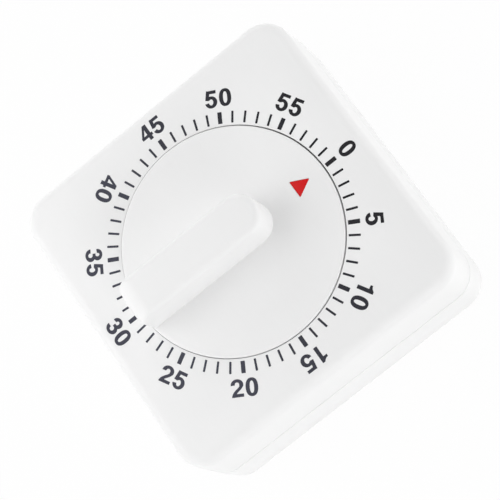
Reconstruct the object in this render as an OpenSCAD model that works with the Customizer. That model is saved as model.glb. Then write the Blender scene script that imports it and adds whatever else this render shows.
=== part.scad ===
// Mechanical kitchen timer: a square case, a knob with a half-bar grip, a spring-driven
// movement between two plates, and a bell that rings at zero.
// The timer lies on its back. Z points out of the dial, Y points to the dial's zero mark,
// and the origin is the middle of the back. All lengths are in millimetres.

/* [Case] */
// Outer side of the square case at the parting line
case_side = 70; // [64:0.5:80]
// Radius of the case's upright corners
corner_r = 6.4; // [5.5:0.1:7.5]
// Radius of the rounded front edge
front_fillet = 2.3; // [1.2:0.1:3]
// Radius of the rounded back edge
back_fillet = 0.8; // [0.4:0.1:1.2]
// How much the front shell narrows on each side from the parting line to the face
draft = 0.4; // [0.2:0.05:0.6]
// Thickness of the side walls
wall_t = 2.0; // [1.8:0.1:2.4]
// Thickness of the face
face_t = 2.0; // [1.6:0.1:2.4]
// Thickness of the rear cover's floor
floor_t = 1.8; // [1.6:0.1:2.4]
// Height of the parting line above the back
seam_z = 12.2; // [11.6:0.1:12.8]
// Visible gap between the two halves of the case
seam_gap = 0.2; // [0.1:0.05:0.3]
// Height of the rear cover's lip inside the front shell
lip_h = 1.4; // [1:0.1:2]
// Width of one sound slot in the back
slot_w = 2.0; // [1.5:0.1:2.5]
// Number of sound slots
slot_count = 12; // [8:1:14]

/* [Knob] */
// Radius of the knob's disc
disc_r = 24.05; // [23:0.05:25]
// Gap between the disc and the face's opening
disc_gap = 0.35; // [0.3:0.05:0.6]
// Height of the disc above the face
disc_proud = 0.3; // [0.1:0.05:0.6]
// Thickness of the disc
disc_t = 1.7; // [1.4:0.1:2]
// Height of the grip above the disc
grip_h = 9.8; // [8:0.1:12]
// Width of the grip
grip_w = 9.4; // [9:0.1:11]
// Distance of the grip's round end from the knob's axis
grip_reach = 10.0; // [8:0.1:12]
// Radius of the grip's top edge
grip_fillet = 1.3; // [0.8:0.1:1.6]
// Radius in which the grip's top turns down at the disc's rim
grip_end_r = 4.2; // [3:0.1:5]
// Radius of the grip's two corners at the disc's rim, seen from above
grip_corner_r = 1.0; // [0.5:0.1:1.5]
// Depth of the well that the disc lies in
well_depth = 3.4; // [3.2:0.1:4]
// Full turn of the knob in degrees
knob_travel = 348; // [330:3:348]
// Distance of the pointer's tip from the disc's edge
mark_inset = 3.55; // [2.5:0.05:5]
// Length of the pointer
mark_l = 3.75; // [3:0.05:4.5]
// Width of the pointer's base
mark_w = 4.0; // [3:0.1:5]

/* [Bell] */
// Outer radius of the bell
bell_r = 25; // [24:0.1:26]
// Height of the bell
bell_h = 5.6; // [5:0.1:6.5]
// Thickness of the bell's metal
bell_t = 0.7; // [0.6:0.05:0.9]
// Height of the boss under the bell
bell_boss_h = 1.2; // [1:0.1:1.6]
// Radius of the hammer's head
head_r = 2.0; // [1.6:0.1:2.3]

/* [Movement plates] */
// Half of a plate's side
plate_half = 27.5; // [27.2:0.1:28]
// Thickness of a plate
plate_t = 1.0; // [0.8:0.1:1.2]
// Distance between the plates
frame_gap = 9.0; // [9:0.1:9.6]
// Clearance between the bell's rim and the rear plate
rim_gap = 1.4; // [1.3:0.1:2]
// Distance of a pillar from the middle plane, across the case
pillar_x = 23.5; // [23.2:0.1:24.2]
// Distance of a pillar from the middle plane, along the case
pillar_y = 13; // [12.7:0.1:13.3]
// Radius of a pillar
pillar_r = 1.8; // [1.6:0.1:2.2]
// Radial clearance of a turning pivot in its hole
fit = 0.05; // [0.03:0.01:0.08]
// Radius of a small pivot
pivot_r = 0.45; // [0.4:0.05:0.55]
// Radius of a small arbor
arbor_r = 0.8; // [0.7:0.05:0.9]
// Radius of the hammer's arbor
hammer_arbor_r = 1.0; // [0.9:0.05:1.1]

/* [Train] */
// Module of the main wheel's teeth
main_module = 0.35; // [0.35:0.005:0.36]
// Module of the second wheel's teeth
second_module = 0.28; // [0.275:0.005:0.285]
// Module of the third wheel's teeth
third_module = 0.25; // [0.245:0.005:0.255]
// Play between the teeth
backlash = 0.06; // [0.05:0.01:0.09]
// Thickness of a wheel
wheel_t = 0.7; // [0.6:0.05:0.75]
// Thickness of the main wheel
main_wheel_t = 1.0; // [0.8:0.05:1.1]
// Radius of the escape wheel
escape_r = 4.5; // [4.3:0.05:4.6]
// Radius of the star wheel
star_r = 4.2; // [4:0.05:4.3]
// Radius of the release cam
cam_r = 7.0; // [6.6:0.05:7.2]

/* [Mainspring] */
// Thickness of the spring strip
strip_t = 0.3; // [0.2:0.05:0.35]
// Height of the spring strip
strip_h = 3.7; // [3.2:0.1:3.8]
// Number of coils
coil_count = 8; // [6:1:9]
// Outer radius of the spring
spring_r = 10.0; // [9.4:0.1:10.2]

/* [Hidden] */
$fn = 64;

// Colours
case_white = "#f4f4f2";
mark_red = "#d81e24";
brass = "#c9a24a";
steel = "#b4b7bb";
dark_steel = "#6c6f74";

// Cuts run past the faces they open by this much
past = 0.5;
// Faces that only touch inside one piece are sunk into each other by this much
sink = 0.4;
// A bar's width as a share of its eyes' diameter
eye_share = 0.95;

// Case, from the outside in
half = case_side / 2;
inner_half = half - wall_t;
lip_t = wall_t / 2 - 0.1;
lip_gap = 0.1;

// Heights of the case, bell and plates, stacked from the back
bell_z = floor_t + bell_boss_h;
bell_rim_z = bell_z + bell_h;
rear_plate_z = bell_rim_z + rim_gap;
frame_z = rear_plate_z + plate_t;
front_plate_z = frame_z + frame_gap;
front_plate_top = front_plate_z + plate_t;
plate_to_well = 1.0;
well_floor_t = 1.5;
well_under_z = front_plate_top + plate_to_well;
well_floor_z = well_under_z + well_floor_t;
face_z = well_floor_z + well_depth;
face_under_z = face_z - face_t;

// Well and knob
well_r = disc_r + disc_gap;
well_wall = 1.5;
disc_z = face_z + disc_proud;
disc_under_z = disc_z - disc_t;
skirt_t = 1.2;
skirt_gap = 0.4;
skirt_z = well_floor_z + skirt_gap;
disc_edge_r = 0.35;
grip_top_z = disc_z + grip_h;
grip_wall = 1.8;
grip_root = 1.0;
grip_corner_min = 0.1;
grip_edge_steps = 10;
grip_corner_steps = 5;
grip_round_steps = 28;
grip_rim_steps = 8;
hub_r = 3.4;
hub_gap = 0.6;
hub_z = well_under_z + 0.4;
socket_r = 2.0;
socket_flat = 1.3;
socket_gap = 0.05;
socket_roof = 4.0;
socket_depth_gap = 0.5;
socket_top_z = grip_top_z - socket_roof;
arbor_top_z = socket_top_z - socket_depth_gap;
mark_tip = disc_r - mark_inset;
mark_base = mark_tip - mark_l;
mark_depth = 0.3;
mark_gap = 0.03;

// Stop that limits the knob's turn: a pin under the disc and a block on the well's floor
stop_r = 18;
stop_pin_r = 1.0;
stop_angle = 36;
stop_play = 0.25;
stop_h = 1.2;
stop_half_turn = (360 - knob_travel) / 2;
stop_block_l = 3;
stop_block_w = 2 * (stop_r * sin(stop_half_turn - stop_play) - stop_pin_r);
stop_pin_end_z = well_floor_z + skirt_gap;

// Cover screws in the corners
cover_boss_r = 3.0;
cover_boss_inset = 1.6;
cover_boss_at = inner_half - cover_boss_r - cover_boss_inset;
cover_screw_r = 1.1;
cover_screw_head_r = 2.1;
cover_screw_head_h = 1.6;
cover_recess_gap = 0.3;
cover_recess_r = cover_screw_head_r + cover_recess_gap;
cover_recess_h = 7.0;
cover_screw_l = 9.5;
cover_cross_w = 0.5;
cover_pilot_l = 5.0;
screw_gap = 0.1;

// Screws that hold the movement
mount_x = 15.5;
mount_inset = 2.5;
mount_y = plate_half - mount_inset;
mount_boss_r = 2.3;
mount_screw_r = 0.8;
mount_head_r = 1.8;
mount_head_h = 1.3;
mount_screw_l = 3.6;
mount_pilot_l = 3.2;
access_gap = 0.5;
access_r = mount_head_r + access_gap;
small_cross_w = 0.4;

// Small screws at the pillars
plate_screw_r = 0.9;
plate_screw_head_r = 1.8;
plate_screw_head_h = 1.1;
plate_screw_l = 3.6;
pillar_spigot_r = 1.0;
spigot_proud = 0.3;
press_gap = 0.02;

// The plates' corners are cut off where they would come near the cover's corner bosses
plate_room = 0.75;
plate_corner = cover_boss_at * sqrt(2) - cover_boss_r - plate_room;

// Levels between the plates, counted from the rear plate's inner face
second_wheel_z = frame_z + 0.5;
main_wheel_z = frame_z + 1.7;
click_z = frame_z + 2.9;
star_z = frame_z + 2.95;
spring_z = frame_z + 4.0;
third_wheel_z = frame_z + 4.3;
escape_wheel_z = frame_z + 6.0;
anchor_z = frame_z + 6.9;
cam_z = frame_z + 8.0;
click_t = 0.7;
star_t = 0.65;
escape_t = 0.5;
anchor_t = 0.6;
cam_t = 0.7;
tail_t = 0.65;
end_play = 0.1;
pivot_proud = 0.15;
collar_t = 0.5;

// Teeth
pressure_angle = 25;
addendum = 0.75;
dedendum = 1.15;
main_teeth = 80;
second_teeth = 72;
third_teeth = 63;
second_leaves = 10;
third_leaves = 9;
escape_leaves = 9;
leaf_over = 0.15;
wheel_steps = 3;
pinion_steps = 4;
escape_teeth = 15;
star_teeth = 10;
ratchet_teeth = 24;
ratchet_slope = 0.2;
// Depth of the pointed teeth and half their angle at the root and the tip, in degrees
star_depth = 1.4;
star_root_half = 8.6;
star_tip_half = 1.6;
escape_depth = 1.1;
escape_root_half = 4.6;
escape_tip_half = 1.15;

// A point at a distance and an angle from the origin
function polar(r, a) = [r * cos(a), r * sin(a)];
// The direction of a vector in degrees
function heading(v) = atan2(v[1], v[0]);
// The phase of a driven wheel that is in mesh with a driver
function mesh_phase(driver_n, driver_phase, line, driven_n) =
    line + 180 - (0.5 - driver_n * (line - driver_phase) / 360) * 360 / driven_n;

// Places of the arbors in plan
second_line = 190;
third_line = -75;
escape_line = -22;
anchor_line = -43;
second_at = polar(main_module * (main_teeth + second_leaves) / 2, second_line);
third_at = second_at + polar(second_module * (second_teeth + third_leaves) / 2, third_line);
escape_at = third_at + polar(third_module * (third_teeth + escape_leaves) / 2, escape_line);

// Anchor: its two pins stand three and a half teeth apart, each on a tangent through the stud
pallet_span = 3.5 * 360 / escape_teeth;
pallet_pin_r = 0.22;
pallet_gap = 0.08;
pallet_circle_r = escape_r + pallet_gap + pallet_pin_r;
anchor_at = escape_at + polar(pallet_circle_r / cos(pallet_span / 2), anchor_line);
pallet_a = escape_at + polar(pallet_circle_r, anchor_line + pallet_span / 2);
pallet_b = escape_at + polar(pallet_circle_r, anchor_line - pallet_span / 2);
escape_phase = anchor_line + pallet_span / 2 + 90 / escape_teeth;
anchor_hub_r = 1.5;
anchor_arm_w = 1.1;
pallet_reach = 0.3;
weight_line = anchor_line + 90;
weight_r = 1.2;
weight_h = 1.3;
weight_at = 4.6;
weight_rivet_r = 0.35;
stud_r = 0.6;
stud_collar = 0.4;
stud_end = 0.8;
clip_r = 1.3;
clip_t = 0.3;
clip_slot_w = 0.6;

// Release lever: it turns on the hammer's arbor and its nose rides on the cam
lever_arm = 8.0;
lever_at = anchor_at + polar(lever_arm, weight_line);
nose_r = 0.6;
nose_gap = 0.08;
nose_l = 1.6;
nose_circle_r = cam_r + nose_gap + nose_r;
nose_run = sqrt(norm(lever_at) * norm(lever_at) - nose_circle_r * nose_circle_r);
nose_angle = heading(lever_at) + atan2(nose_run, nose_circle_r);
nose_at = polar(nose_circle_r, nose_angle);
lever_end = polar(nose_circle_r + nose_l, nose_angle);
lever_hub_r = 2.2;
lever_w = 1.8;
rest_pin_r = 0.5;
rest_pin_reach = 4.0;
notch_depth = 1.15;
notch_half_w = 0.85;

// Hammer: its tail reaches the star wheel, its head hangs in the bell
tail_gap = 0.1;
finger_r = 0.3;
finger_l = 1.5;
tail_w = 1.2;
tail_hub_r = 1.9;
star_line = 70;
finger_at = third_at + polar(star_r + tail_gap + finger_r, star_line);
tail_end = finger_at + polar(finger_l, star_line);
tail_bend_x = -9.45;
tail_bend_y = 2.4;
tail_bend = lever_at + [tail_bend_x, tail_bend_y];
star_phase = star_line + 180 / star_teeth;
head_line = -120;
head_gap = 1.05;
head_lift = 1.2;
head_rivet = 0.15;
head_at = polar(bell_r - bell_t - head_gap - head_r, head_line);
arm_t = 0.6;
arm_w = 1.6;
arm_drop = 1.1;
arm_z = rear_plate_z - arm_drop;
arm_eye = 0.3;
head_z = bell_z + bell_t + head_lift;
rest_pin_heading = heading(tail_bend - lever_at);
rest_pin_at = lever_at + polar(rest_pin_reach,
    rest_pin_heading + asin((tail_w / 2 + rest_pin_r + tail_gap) / rest_pin_reach));

// Main arbor
main_pivot_r = 1.5;
main_journal_r = 2.4;
main_flange_r = 3.4;
core_r = 2.8;
front_journal_r = 2.2;
flange_t = 0.7;
hook_w = 0.8;
hook_l = 0.2;
hook_lead = 12;
arbor_shoulder = 0.3;

// Ratchet and clicks
ratchet_r = 4.8;
ratchet_root_r = 4.1;
click_pivot_r = 7.2;
click_lead = 45;
click_hub_r = 1.25;
click_gap = 0.06;
click_nose = 0.5;
click_rivet_r = 0.6;
click_post_r = 0.5;
click_post_at = 9.0;
click_post_lead = 2;
click_head = 0.3;
click_head_t = 0.15;
click_touch_out = 1.0;
click_touch_y = 1.3;
click_touch = [ratchet_r + click_touch_out, click_touch_y];
leaf_t = 0.2;
leaf_gap = 0.05;

// Mainspring
coil_gap = 0.3;
spring_in_r = core_r + coil_gap;
points_per_coil = 24;
stud_line = 62;
spring_stud_r = 0.9;
spring_eye_r = spring_stud_r + 0.1;
spring_stud_out = 1.5;
spring_stud_at_r = spring_r + spring_stud_out;
spring_stud_at = polar(spring_stud_at_r, stud_line);
// The last coil ends where a straight run from it just meets the eye on the stud
spring_end_r = spring_r - strip_t / 2;
spring_end_line = stud_line
    - acos((spring_end_r + spring_eye_r + strip_t / 2) / spring_stud_at_r);

// Bell
bell_edge_r = 2.2;
bell_hole_r = 1.4;
bell_boss_r = 3.5;
bell_screw_r = 1.1;
bell_screw_head_r = 2.2;
bell_screw_head_h = 1.3;
bell_screw_end_z = 0.9;
bell_slot_w = 0.6;
bell_slot_depth = 0.6;
slot_in_r = 8;
slot_out_r = 20;

// Wire springs
wire_r = 0.18;
wire_sides = 6;
torsion_gap = 0.27;
torsion_r = hammer_arbor_r + torsion_gap + wire_r;
torsion_coils = 4;
torsion_steps = 12;
torsion_foot_r = 3.2;
wire_gap = 0.03;

// Leaf spring that presses the release lever's nose onto the cam
release_post_r = 1.0;
release_post_x = 9.5;
release_post_y = 6.5;
release_post_at = lever_at + [release_post_x, release_post_y];
release_touch = lever_at + 0.62 * (lever_end - lever_at)
    + polar(lever_w / 2 + leaf_t / 2 + leaf_gap, heading(lever_end - lever_at) - 90);

// Round windows in the wheels: their count, distance from the middle and radius
main_windows = 4;
main_window_at = 9.5;
main_window_r = 2.2;
main_window_lead = 82.5;
second_windows = 5;
second_window_at = 6;
second_window_r = 2;
third_windows = 5;
third_window_at = 4.6;
third_window_r = 1.5;
escape_windows = 4;
escape_window_at = 2.1;
escape_window_r = 0.7;

// Points of a quarter or other stretch of a circle
function arc(cx, cy, r, a0, a1, n) =
    [for (i = [0:n]) [cx + r * cos(a0 + (a1 - a0) * i / n), cy + r * sin(a0 + (a1 - a0) * i / n)]];

// The involute of the pressure angle, in degrees
function involute(a) = tan(a) * 180 / PI - a;

// Half of a tooth's angle at a distance from the wheel's centre
function tooth_half(n, r, base_r, at_r) =
    90 / n - backlash / (2 * r) * 180 / PI
    + involute(pressure_angle) - involute(acos(min(1, base_r / at_r)));

// One side of a tooth as pairs of radius and angle, from root to tip
function tooth_side(n, m, steps) =
    let (
        r = m * n / 2,
        base_r = r * cos(pressure_angle),
        tip_r = r + addendum * m,
        root_r = r - dedendum * m,
        start_r = max(base_r, root_r),
        run = [for (i = [0:steps - 1]) start_r + (tip_r - start_r) * i / (steps - 1)]
    )
    concat(
        root_r < base_r ? [[root_r, tooth_half(n, r, base_r, start_r)]] : [],
        [for (p = run) [p, tooth_half(n, r, base_r, p)]]
    );

// Outline of a gear with a tooth at the phase angle
module gear_outline(n, m, phase, steps) {
    side = tooth_side(n, m, steps);
    last = len(side) - 1;
    polygon([
        for (i = [0:n - 1])
            let (c = phase + 360 * i / n)
            each concat(
                [for (j = [0:last]) polar(side[j][0], c - side[j][1])],
                [for (j = [0:last]) polar(side[last - j][0], c + side[last - j][1])]
            )
    ]);
}

// Outline of a wheel with straight-sided teeth, given the half angles at root and tip
module pointed_outline(n, root_r, tip_r, phase, root_half, tip_half) {
    polygon([
        for (i = [0:n - 1])
            let (c = phase + 360 * i / n)
            each [
                polar(root_r, c - root_half), polar(tip_r, c - tip_half),
                polar(tip_r, c + tip_half), polar(root_r, c + root_half)
            ]
    ]);
}

// A straight bar between two round eyes in plan. The eyes are a little wider than the bar.
module bar(a, b, w, h) {
    run = b - a;
    waist = eye_share * w;
    translate(a) cylinder(r = w / 2, h = h);
    translate(b) cylinder(r = w / 2, h = h);
    translate(a) rotate(heading(run)) translate([0, -waist / 2, 0]) cube([norm(run), waist, h]);
}

// A round rod at a place in plan
module rod(at, r, z0, z1) {
    translate([at[0], at[1], z0]) cylinder(r = r, h = z1 - z0);
}

// A round hole is cut with the same rod
module bore(at, r, z0, z1) {
    rod(at, r, z0, z1);
}

// A cross-headed screw: its head below a shank that points up
module screw_up(z, head_r, head_h, shank_r, shank_l, cross_w) {
    cross_l = 1.2 * head_r;
    cross_depth = head_h / 2;
    translate([0, 0, z]) difference() {
        union() {
            cylinder(r = head_r, h = head_h);
            cylinder(r = shank_r, h = head_h + shank_l);
        }
        for (turn = [0, 90])
            rotate(turn) translate([-cross_l / 2, -cross_w / 2, -past])
                cube([cross_l, cross_w, past + cross_depth]);
    }
}

// Four copies, one in each corner
module at_corners(x, y) {
    for (sx = [-1, 1], sy = [-1, 1]) translate([sx * x, sy * y, 0]) children();
}

// A square block with round corners from a profile of distance from the corner's axis and height
module cornered_block(axis_at, profile) {
    at_z = [for (p = profile) p[1]];
    for (turn = [0:90:270]) rotate(turn) {
        translate([axis_at, axis_at, 0]) rotate_extrude(angle = 90) polygon(profile);
        translate([axis_at, axis_at, 0]) rotate([90, 0, 0])
            linear_extrude(2 * axis_at) polygon(profile);
    }
    translate([-axis_at, -axis_at, min(at_z)])
        cube([2 * axis_at, 2 * axis_at, max(at_z) - min(at_z)]);
}

// A square block with upright sides and round corners
module plain_block(half_w, r, z0, z1) {
    cornered_block(half_w - r, [[0, z0], [r, z0], [r, z1], [0, z1]]);
}

// A wire of round section along a list of points
module wire(points, r) {
    n = len(points);
    function along(i) =
        let (d = points[min(i + 1, n - 1)] - points[max(i - 1, 0)]) d / norm(d);
    function across(t) =
        let (c = cross(t, abs(t[2]) > 0.9 ? [1, 0, 0] : [0, 0, 1])) c / norm(c);
    rings = [
        for (i = [0:n - 1])
            let (t = along(i), u = across(t), v = cross(t, u))
            for (k = [0:wire_sides - 1])
                points[i] + r * (cos(360 * k / wire_sides) * u + sin(360 * k / wire_sides) * v)
    ];
    sides = [
        for (i = [0:n - 2], k = [0:wire_sides - 1])
            let (a = i * wire_sides + k, b = i * wire_sides + (k + 1) % wire_sides)
            each [[a, b, a + wire_sides], [b, b + wire_sides, a + wire_sides]]
    ];
    start = [for (k = [1:wire_sides - 2]) [0, k + 1, k]];
    base = (n - 1) * wire_sides;
    finish = [for (k = [1:wire_sides - 2]) [base, base + k, base + k + 1]];
    polyhedron(points = rings, faces = concat(sides, start, finish));
}

// Profile of the front shell's outside
function front_profile() =
    let (r = corner_r, top_r = corner_r - draft)
    concat(
        [[0, seam_z + seam_gap / 2], [r, seam_z + seam_gap / 2]],
        arc(top_r - front_fillet, face_z - front_fillet, front_fillet, 0, 90, 8),
        [[0, face_z]]
    );

// Profile of the rear cover's outside
function rear_profile() =
    concat(
        [[0, 0]],
        arc(corner_r - back_fillet, back_fillet, back_fillet, -90, 0, 4),
        [[corner_r, seam_z - seam_gap / 2], [0, seam_z - seam_gap / 2]]
    );

module front_shell() {
    inner_r = corner_r - wall_t;
    color(case_white) difference() {
        union() {
            difference() {
                cornered_block(half - corner_r, front_profile());
                plain_block(inner_half - draft, inner_r, seam_z - past, face_under_z);
            }
            // The well under the knob
            translate([0, 0, well_under_z])
                cylinder(r = well_r + well_wall, h = face_z - well_under_z - sink);
            at_corners(cover_boss_at, cover_boss_at)
                translate([0, 0, seam_z]) cylinder(r = cover_boss_r, h = face_under_z - seam_z + sink);
            at_corners(mount_x, mount_y)
                translate([0, 0, front_plate_top])
                    cylinder(r = mount_boss_r, h = face_under_z - front_plate_top + sink);
        }
        difference() {
            translate([0, 0, well_floor_z]) cylinder(r = well_r, h = face_z - well_floor_z + past);
            rotate(stop_angle) translate([stop_r - stop_block_l / 2, -stop_block_w / 2, well_floor_z])
                cube([stop_block_l, stop_block_w, stop_h]);
        }
        bore([0, 0], hub_r + hub_gap, well_under_z - past, well_floor_z + past);
        // The step that takes the rear cover's lip
        plain_block(inner_half + lip_t + lip_gap, inner_r + lip_t + lip_gap,
            seam_z - past, seam_z + seam_gap / 2 + lip_h);
        at_corners(cover_boss_at, cover_boss_at)
            translate([0, 0, seam_z - past])
                cylinder(r = cover_screw_r + fit, h = past + cover_pilot_l);
        at_corners(mount_x, mount_y)
            translate([0, 0, front_plate_top - past])
                cylinder(r = mount_screw_r + fit, h = past + mount_pilot_l);
    }
}

module rear_cover() {
    inner_r = corner_r - wall_t;
    lip_r = inner_r + lip_t;
    color(case_white) difference() {
        union() {
            difference() {
                union() {
                    cornered_block(half - corner_r, rear_profile());
                    plain_block(inner_half + lip_t, lip_r, seam_z - sink, seam_z + lip_h);
                }
                plain_block(inner_half, inner_r, floor_t, seam_z + lip_h + past);
            }
            at_corners(cover_boss_at, cover_boss_at) cylinder(r = cover_boss_r, h = seam_z);
            cylinder(r = bell_boss_r, h = bell_z);
        }
        at_corners(cover_boss_at, cover_boss_at) {
            translate([0, 0, -past]) cylinder(r = cover_recess_r, h = past + cover_recess_h);
            cylinder(r = cover_screw_r + screw_gap, h = seam_z + past);
        }
        bore([0, 0], bell_screw_r + fit, bell_screw_end_z, bell_z + past);
        for (i = [0:slot_count - 1]) rotate(360 * i / slot_count) sound_slot();
    }
}

// One slot with round ends, cut through the floor
module sound_slot() {
    translate([0, 0, -past])
        bar([slot_in_r + slot_w / 2, 0], [slot_out_r - slot_w / 2, 0], slot_w, floor_t + 2 * past);
}

module cover_screws() {
    color(steel) at_corners(cover_boss_at, cover_boss_at)
        screw_up(cover_recess_h - cover_screw_head_h, cover_screw_head_r,
            cover_screw_head_h, cover_screw_r, cover_screw_l, cover_cross_w);
}

// How far a rounded edge has drawn in at a depth below its top
function drawn_in(r, depth) = depth < r ? r - sqrt(r * r - (r - depth) * (r - depth)) : 0;

// Points on an arc at a height, with its first end but without its last
function arc_at(x, y, z, r, from, to, steps) = [for (i = [0:steps - 1])
    let (a = from + (to - from) * i / steps) [x + r * cos(a), y + r * sin(a), z]];

// The grip's outline at a height, drawn in by an inset at its sides and by end_in at the rim
function grip_ring(inset, end_in, z) = let (
    round_r = grip_w / 2 - inset,
    corner = max(grip_corner_r - inset, grip_corner_min),
    rim_r = disc_r - inset,
    rim_y = end_in - inset,
    corner_x = round_r - corner,
    corner_turn = -acos(corner_x / (rim_r - corner)),
    corner_y = rim_y + (rim_r - corner) * sin(corner_turn)
) concat(
    arc_at(corner_x, corner_y, z, corner, corner_turn, 0, grip_corner_steps),
    arc_at(0, grip_reach - grip_w / 2, z, round_r, 0, 180, grip_round_steps),
    arc_at(-corner_x, corner_y, z, corner, 180, 180 - corner_turn, grip_corner_steps),
    arc_at(0, rim_y, z, rim_r, 180 - corner_turn, 360 + corner_turn, grip_rim_steps)
);

// The grip from a height up, with its rounded edges, drawn in by a wall on every side
module grip_form(wall, low_z) {
    edge_r = max(grip_fillet - wall, 0);
    end_r = grip_end_r - wall;
    rings = concat(
        [grip_ring(wall, wall, low_z)],
        [for (i = [0:grip_edge_steps])
            let (depth = end_r * (1 - sin(90 * i / grip_edge_steps)))
            grip_ring(wall + drawn_in(edge_r, depth), wall + drawn_in(end_r, depth),
                grip_top_z - wall - depth)]
    );
    count = len(rings[0]);
    last = len(rings) - 1;
    polyhedron(
        [for (ring = rings) for (point = ring) point],
        concat(
            [[for (i = [0:count - 1]) i]],
            [for (k = [0:last - 1]) for (i = [0:count - 1]) let (j = (i + 1) % count)
                for (three = [[i, i + count, j], [j, i + count, j + count]])
                    [for (c = three) k * count + c]],
            [[for (i = [count - 1:-1:0]) last * count + i]]
        )
    );
}

// Outline of the pointer, grown by a gap
module mark_outline(gap) {
    half_w = mark_w / 2;
    side_l = norm([half_w, mark_tip - mark_base]);
    polygon([
        [0, mark_tip + gap * side_l / half_w],
        [-half_w - gap * (side_l + half_w) / (mark_tip - mark_base), mark_base - gap],
        [half_w + gap * (side_l + half_w) / (mark_tip - mark_base), mark_base - gap]
    ]);
}

// A round shape with one flat, as on the end of the main arbor
module flatted(r, flat, h) {
    linear_extrude(h) difference() {
        circle(r = r);
        translate([-2 * r, flat]) square([4 * r, 2 * r]);
    }
}

module knob() {
    color(case_white) difference() {
        union() {
            rotate_extrude() polygon(concat(
                [[0, disc_under_z], [disc_r - skirt_t, disc_under_z],
                 [disc_r - skirt_t, skirt_z], [disc_r, skirt_z]],
                arc(disc_r - disc_edge_r, disc_z - disc_edge_r, disc_edge_r, 0, 90, 4),
                [[0, disc_z]]
            ));
            grip_form(0, disc_z - grip_root);
            rod([0, 0], hub_r, hub_z, disc_z);
            rod(polar(stop_r, stop_angle - stop_half_turn), stop_pin_r, stop_pin_end_z, disc_z - sink);
        }
        difference() {
            // The hollow inside the grip
            grip_form(grip_wall, disc_under_z - past);
            rod([0, 0], hub_r, hub_z, grip_top_z);
        }
        translate([0, 0, hub_z - past])
            flatted(socket_r + socket_gap, socket_flat + socket_gap, socket_top_z - hub_z + past);
        translate([0, 0, disc_z - mark_depth]) linear_extrude(mark_depth + past) mark_outline(mark_gap);
    }
}

module pointer_mark() {
    color(mark_red) translate([0, 0, disc_z - mark_depth]) linear_extrude(mark_depth) mark_outline(0);
}

// Outline of a movement plate: a square with cut corners
module plate_outline() {
    intersection() {
        square(2 * plate_half, center = true);
        rotate(45) square(2 * plate_corner, center = true);
    }
}

// Holes that both plates share for the small pivots
module pivot_holes(z0, z1) {
    for (at = [second_at, third_at, escape_at]) bore(at, pivot_r + fit, z0, z1);
}

module front_plate() {
    z0 = front_plate_z - past;
    z1 = front_plate_top + past;
    color(brass) difference() {
        translate([0, 0, front_plate_z]) linear_extrude(plate_t) plate_outline();
        pivot_holes(z0, z1);
        bore([0, 0], front_journal_r + fit, z0, z1);
        bore(lever_at, pivot_r + fit, z0, z1);
        bore(spring_stud_at, pivot_r + press_gap, z0, z1);
        bore(release_post_at, pivot_r + press_gap, z0, z1);
        at_corners(pillar_x, pillar_y) bore([0, 0], pillar_spigot_r + press_gap, z0, z1);
        at_corners(mount_x, mount_y) bore([0, 0], mount_screw_r + screw_gap, z0, z1);
    }
}

module rear_plate() {
    z0 = rear_plate_z - past;
    z1 = frame_z + past;
    color(brass) difference() {
        translate([0, 0, rear_plate_z]) linear_extrude(plate_t) plate_outline();
        pivot_holes(z0, z1);
        bore([0, 0], main_pivot_r + fit, z0, z1);
        bore(lever_at, hammer_arbor_r + fit, z0, z1);
        at_corners(pillar_x, pillar_y) bore([0, 0], plate_screw_r + screw_gap, z0, z1);
        at_corners(mount_x, mount_y) bore([0, 0], access_r, z0, z1);
    }
}

module frame_pillars() {
    color(steel) at_corners(pillar_x, pillar_y) difference() {
        union() {
            rod([0, 0], pillar_r, frame_z, front_plate_z);
            rod([0, 0], pillar_spigot_r, front_plate_z - sink, front_plate_top + spigot_proud);
        }
        bore([0, 0], plate_screw_r + press_gap, frame_z - past, frame_z + plate_screw_l);
    }
}

module plate_screws() {
    color(steel) at_corners(pillar_x, pillar_y)
        screw_up(rear_plate_z - plate_screw_head_h, plate_screw_head_r,
            plate_screw_head_h, plate_screw_r, plate_screw_l, small_cross_w);
}

module movement_screws() {
    color(steel) at_corners(mount_x, mount_y)
        screw_up(front_plate_z - mount_head_h, mount_head_r,
            mount_head_h, mount_screw_r, mount_screw_l, small_cross_w);
}

module main_arbor() {
    flange_z = main_wheel_z - end_play - flange_t;
    journal_top = click_z + click_t;
    core_top = spring_z + strip_h + end_play;
    color(steel) union() {
        rod([0, 0], main_pivot_r, rear_plate_z - pivot_proud, frame_z + end_play + sink);
        rod([0, 0], main_journal_r, frame_z + end_play, journal_top + sink);
        rod([0, 0], main_flange_r, flange_z, main_wheel_z - end_play);
        rod([0, 0], core_r, journal_top + end_play, core_top);
        rod([0, 0], front_journal_r, core_top - sink, front_plate_top + arbor_shoulder);
        translate([0, 0, front_plate_top])
            flatted(socket_r, socket_flat, arbor_top_z - front_plate_top);
        // The hook that holds the mainspring's inner end
        rotate(spring_end_line - hook_lead)
            translate([core_r - sink, -hook_w / 2, spring_z + strip_h / 3])
                cube([sink + hook_l, hook_w, strip_h / 3]);
    }
}

// The cam's rim has one notch, steep on one side and sloped on the other
module release_cam() {
    floor_r = cam_r - notch_depth;
    color(dark_steel) translate([0, 0, cam_z]) difference() {
        linear_extrude(cam_t) difference() {
            circle(r = cam_r);
            rotate(nose_angle) polygon([
                [floor_r, -notch_half_w], [cam_r + past, -notch_half_w],
                [cam_r + past, notch_half_w + notch_depth + past], [floor_r, notch_half_w]
            ]);
            circle(r = front_journal_r + press_gap);
        }
    }
}

module ratchet_wheel() {
    color(steel) translate([0, 0, click_z]) linear_extrude(click_t) difference() {
        polygon([
            for (i = [0:ratchet_teeth - 1])
                let (c = 360 * i / ratchet_teeth)
                each [polar(ratchet_r, c), polar(ratchet_root_r, c + ratchet_slope)]
        ]);
        circle(r = main_journal_r + press_gap);
    }
}

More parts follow.
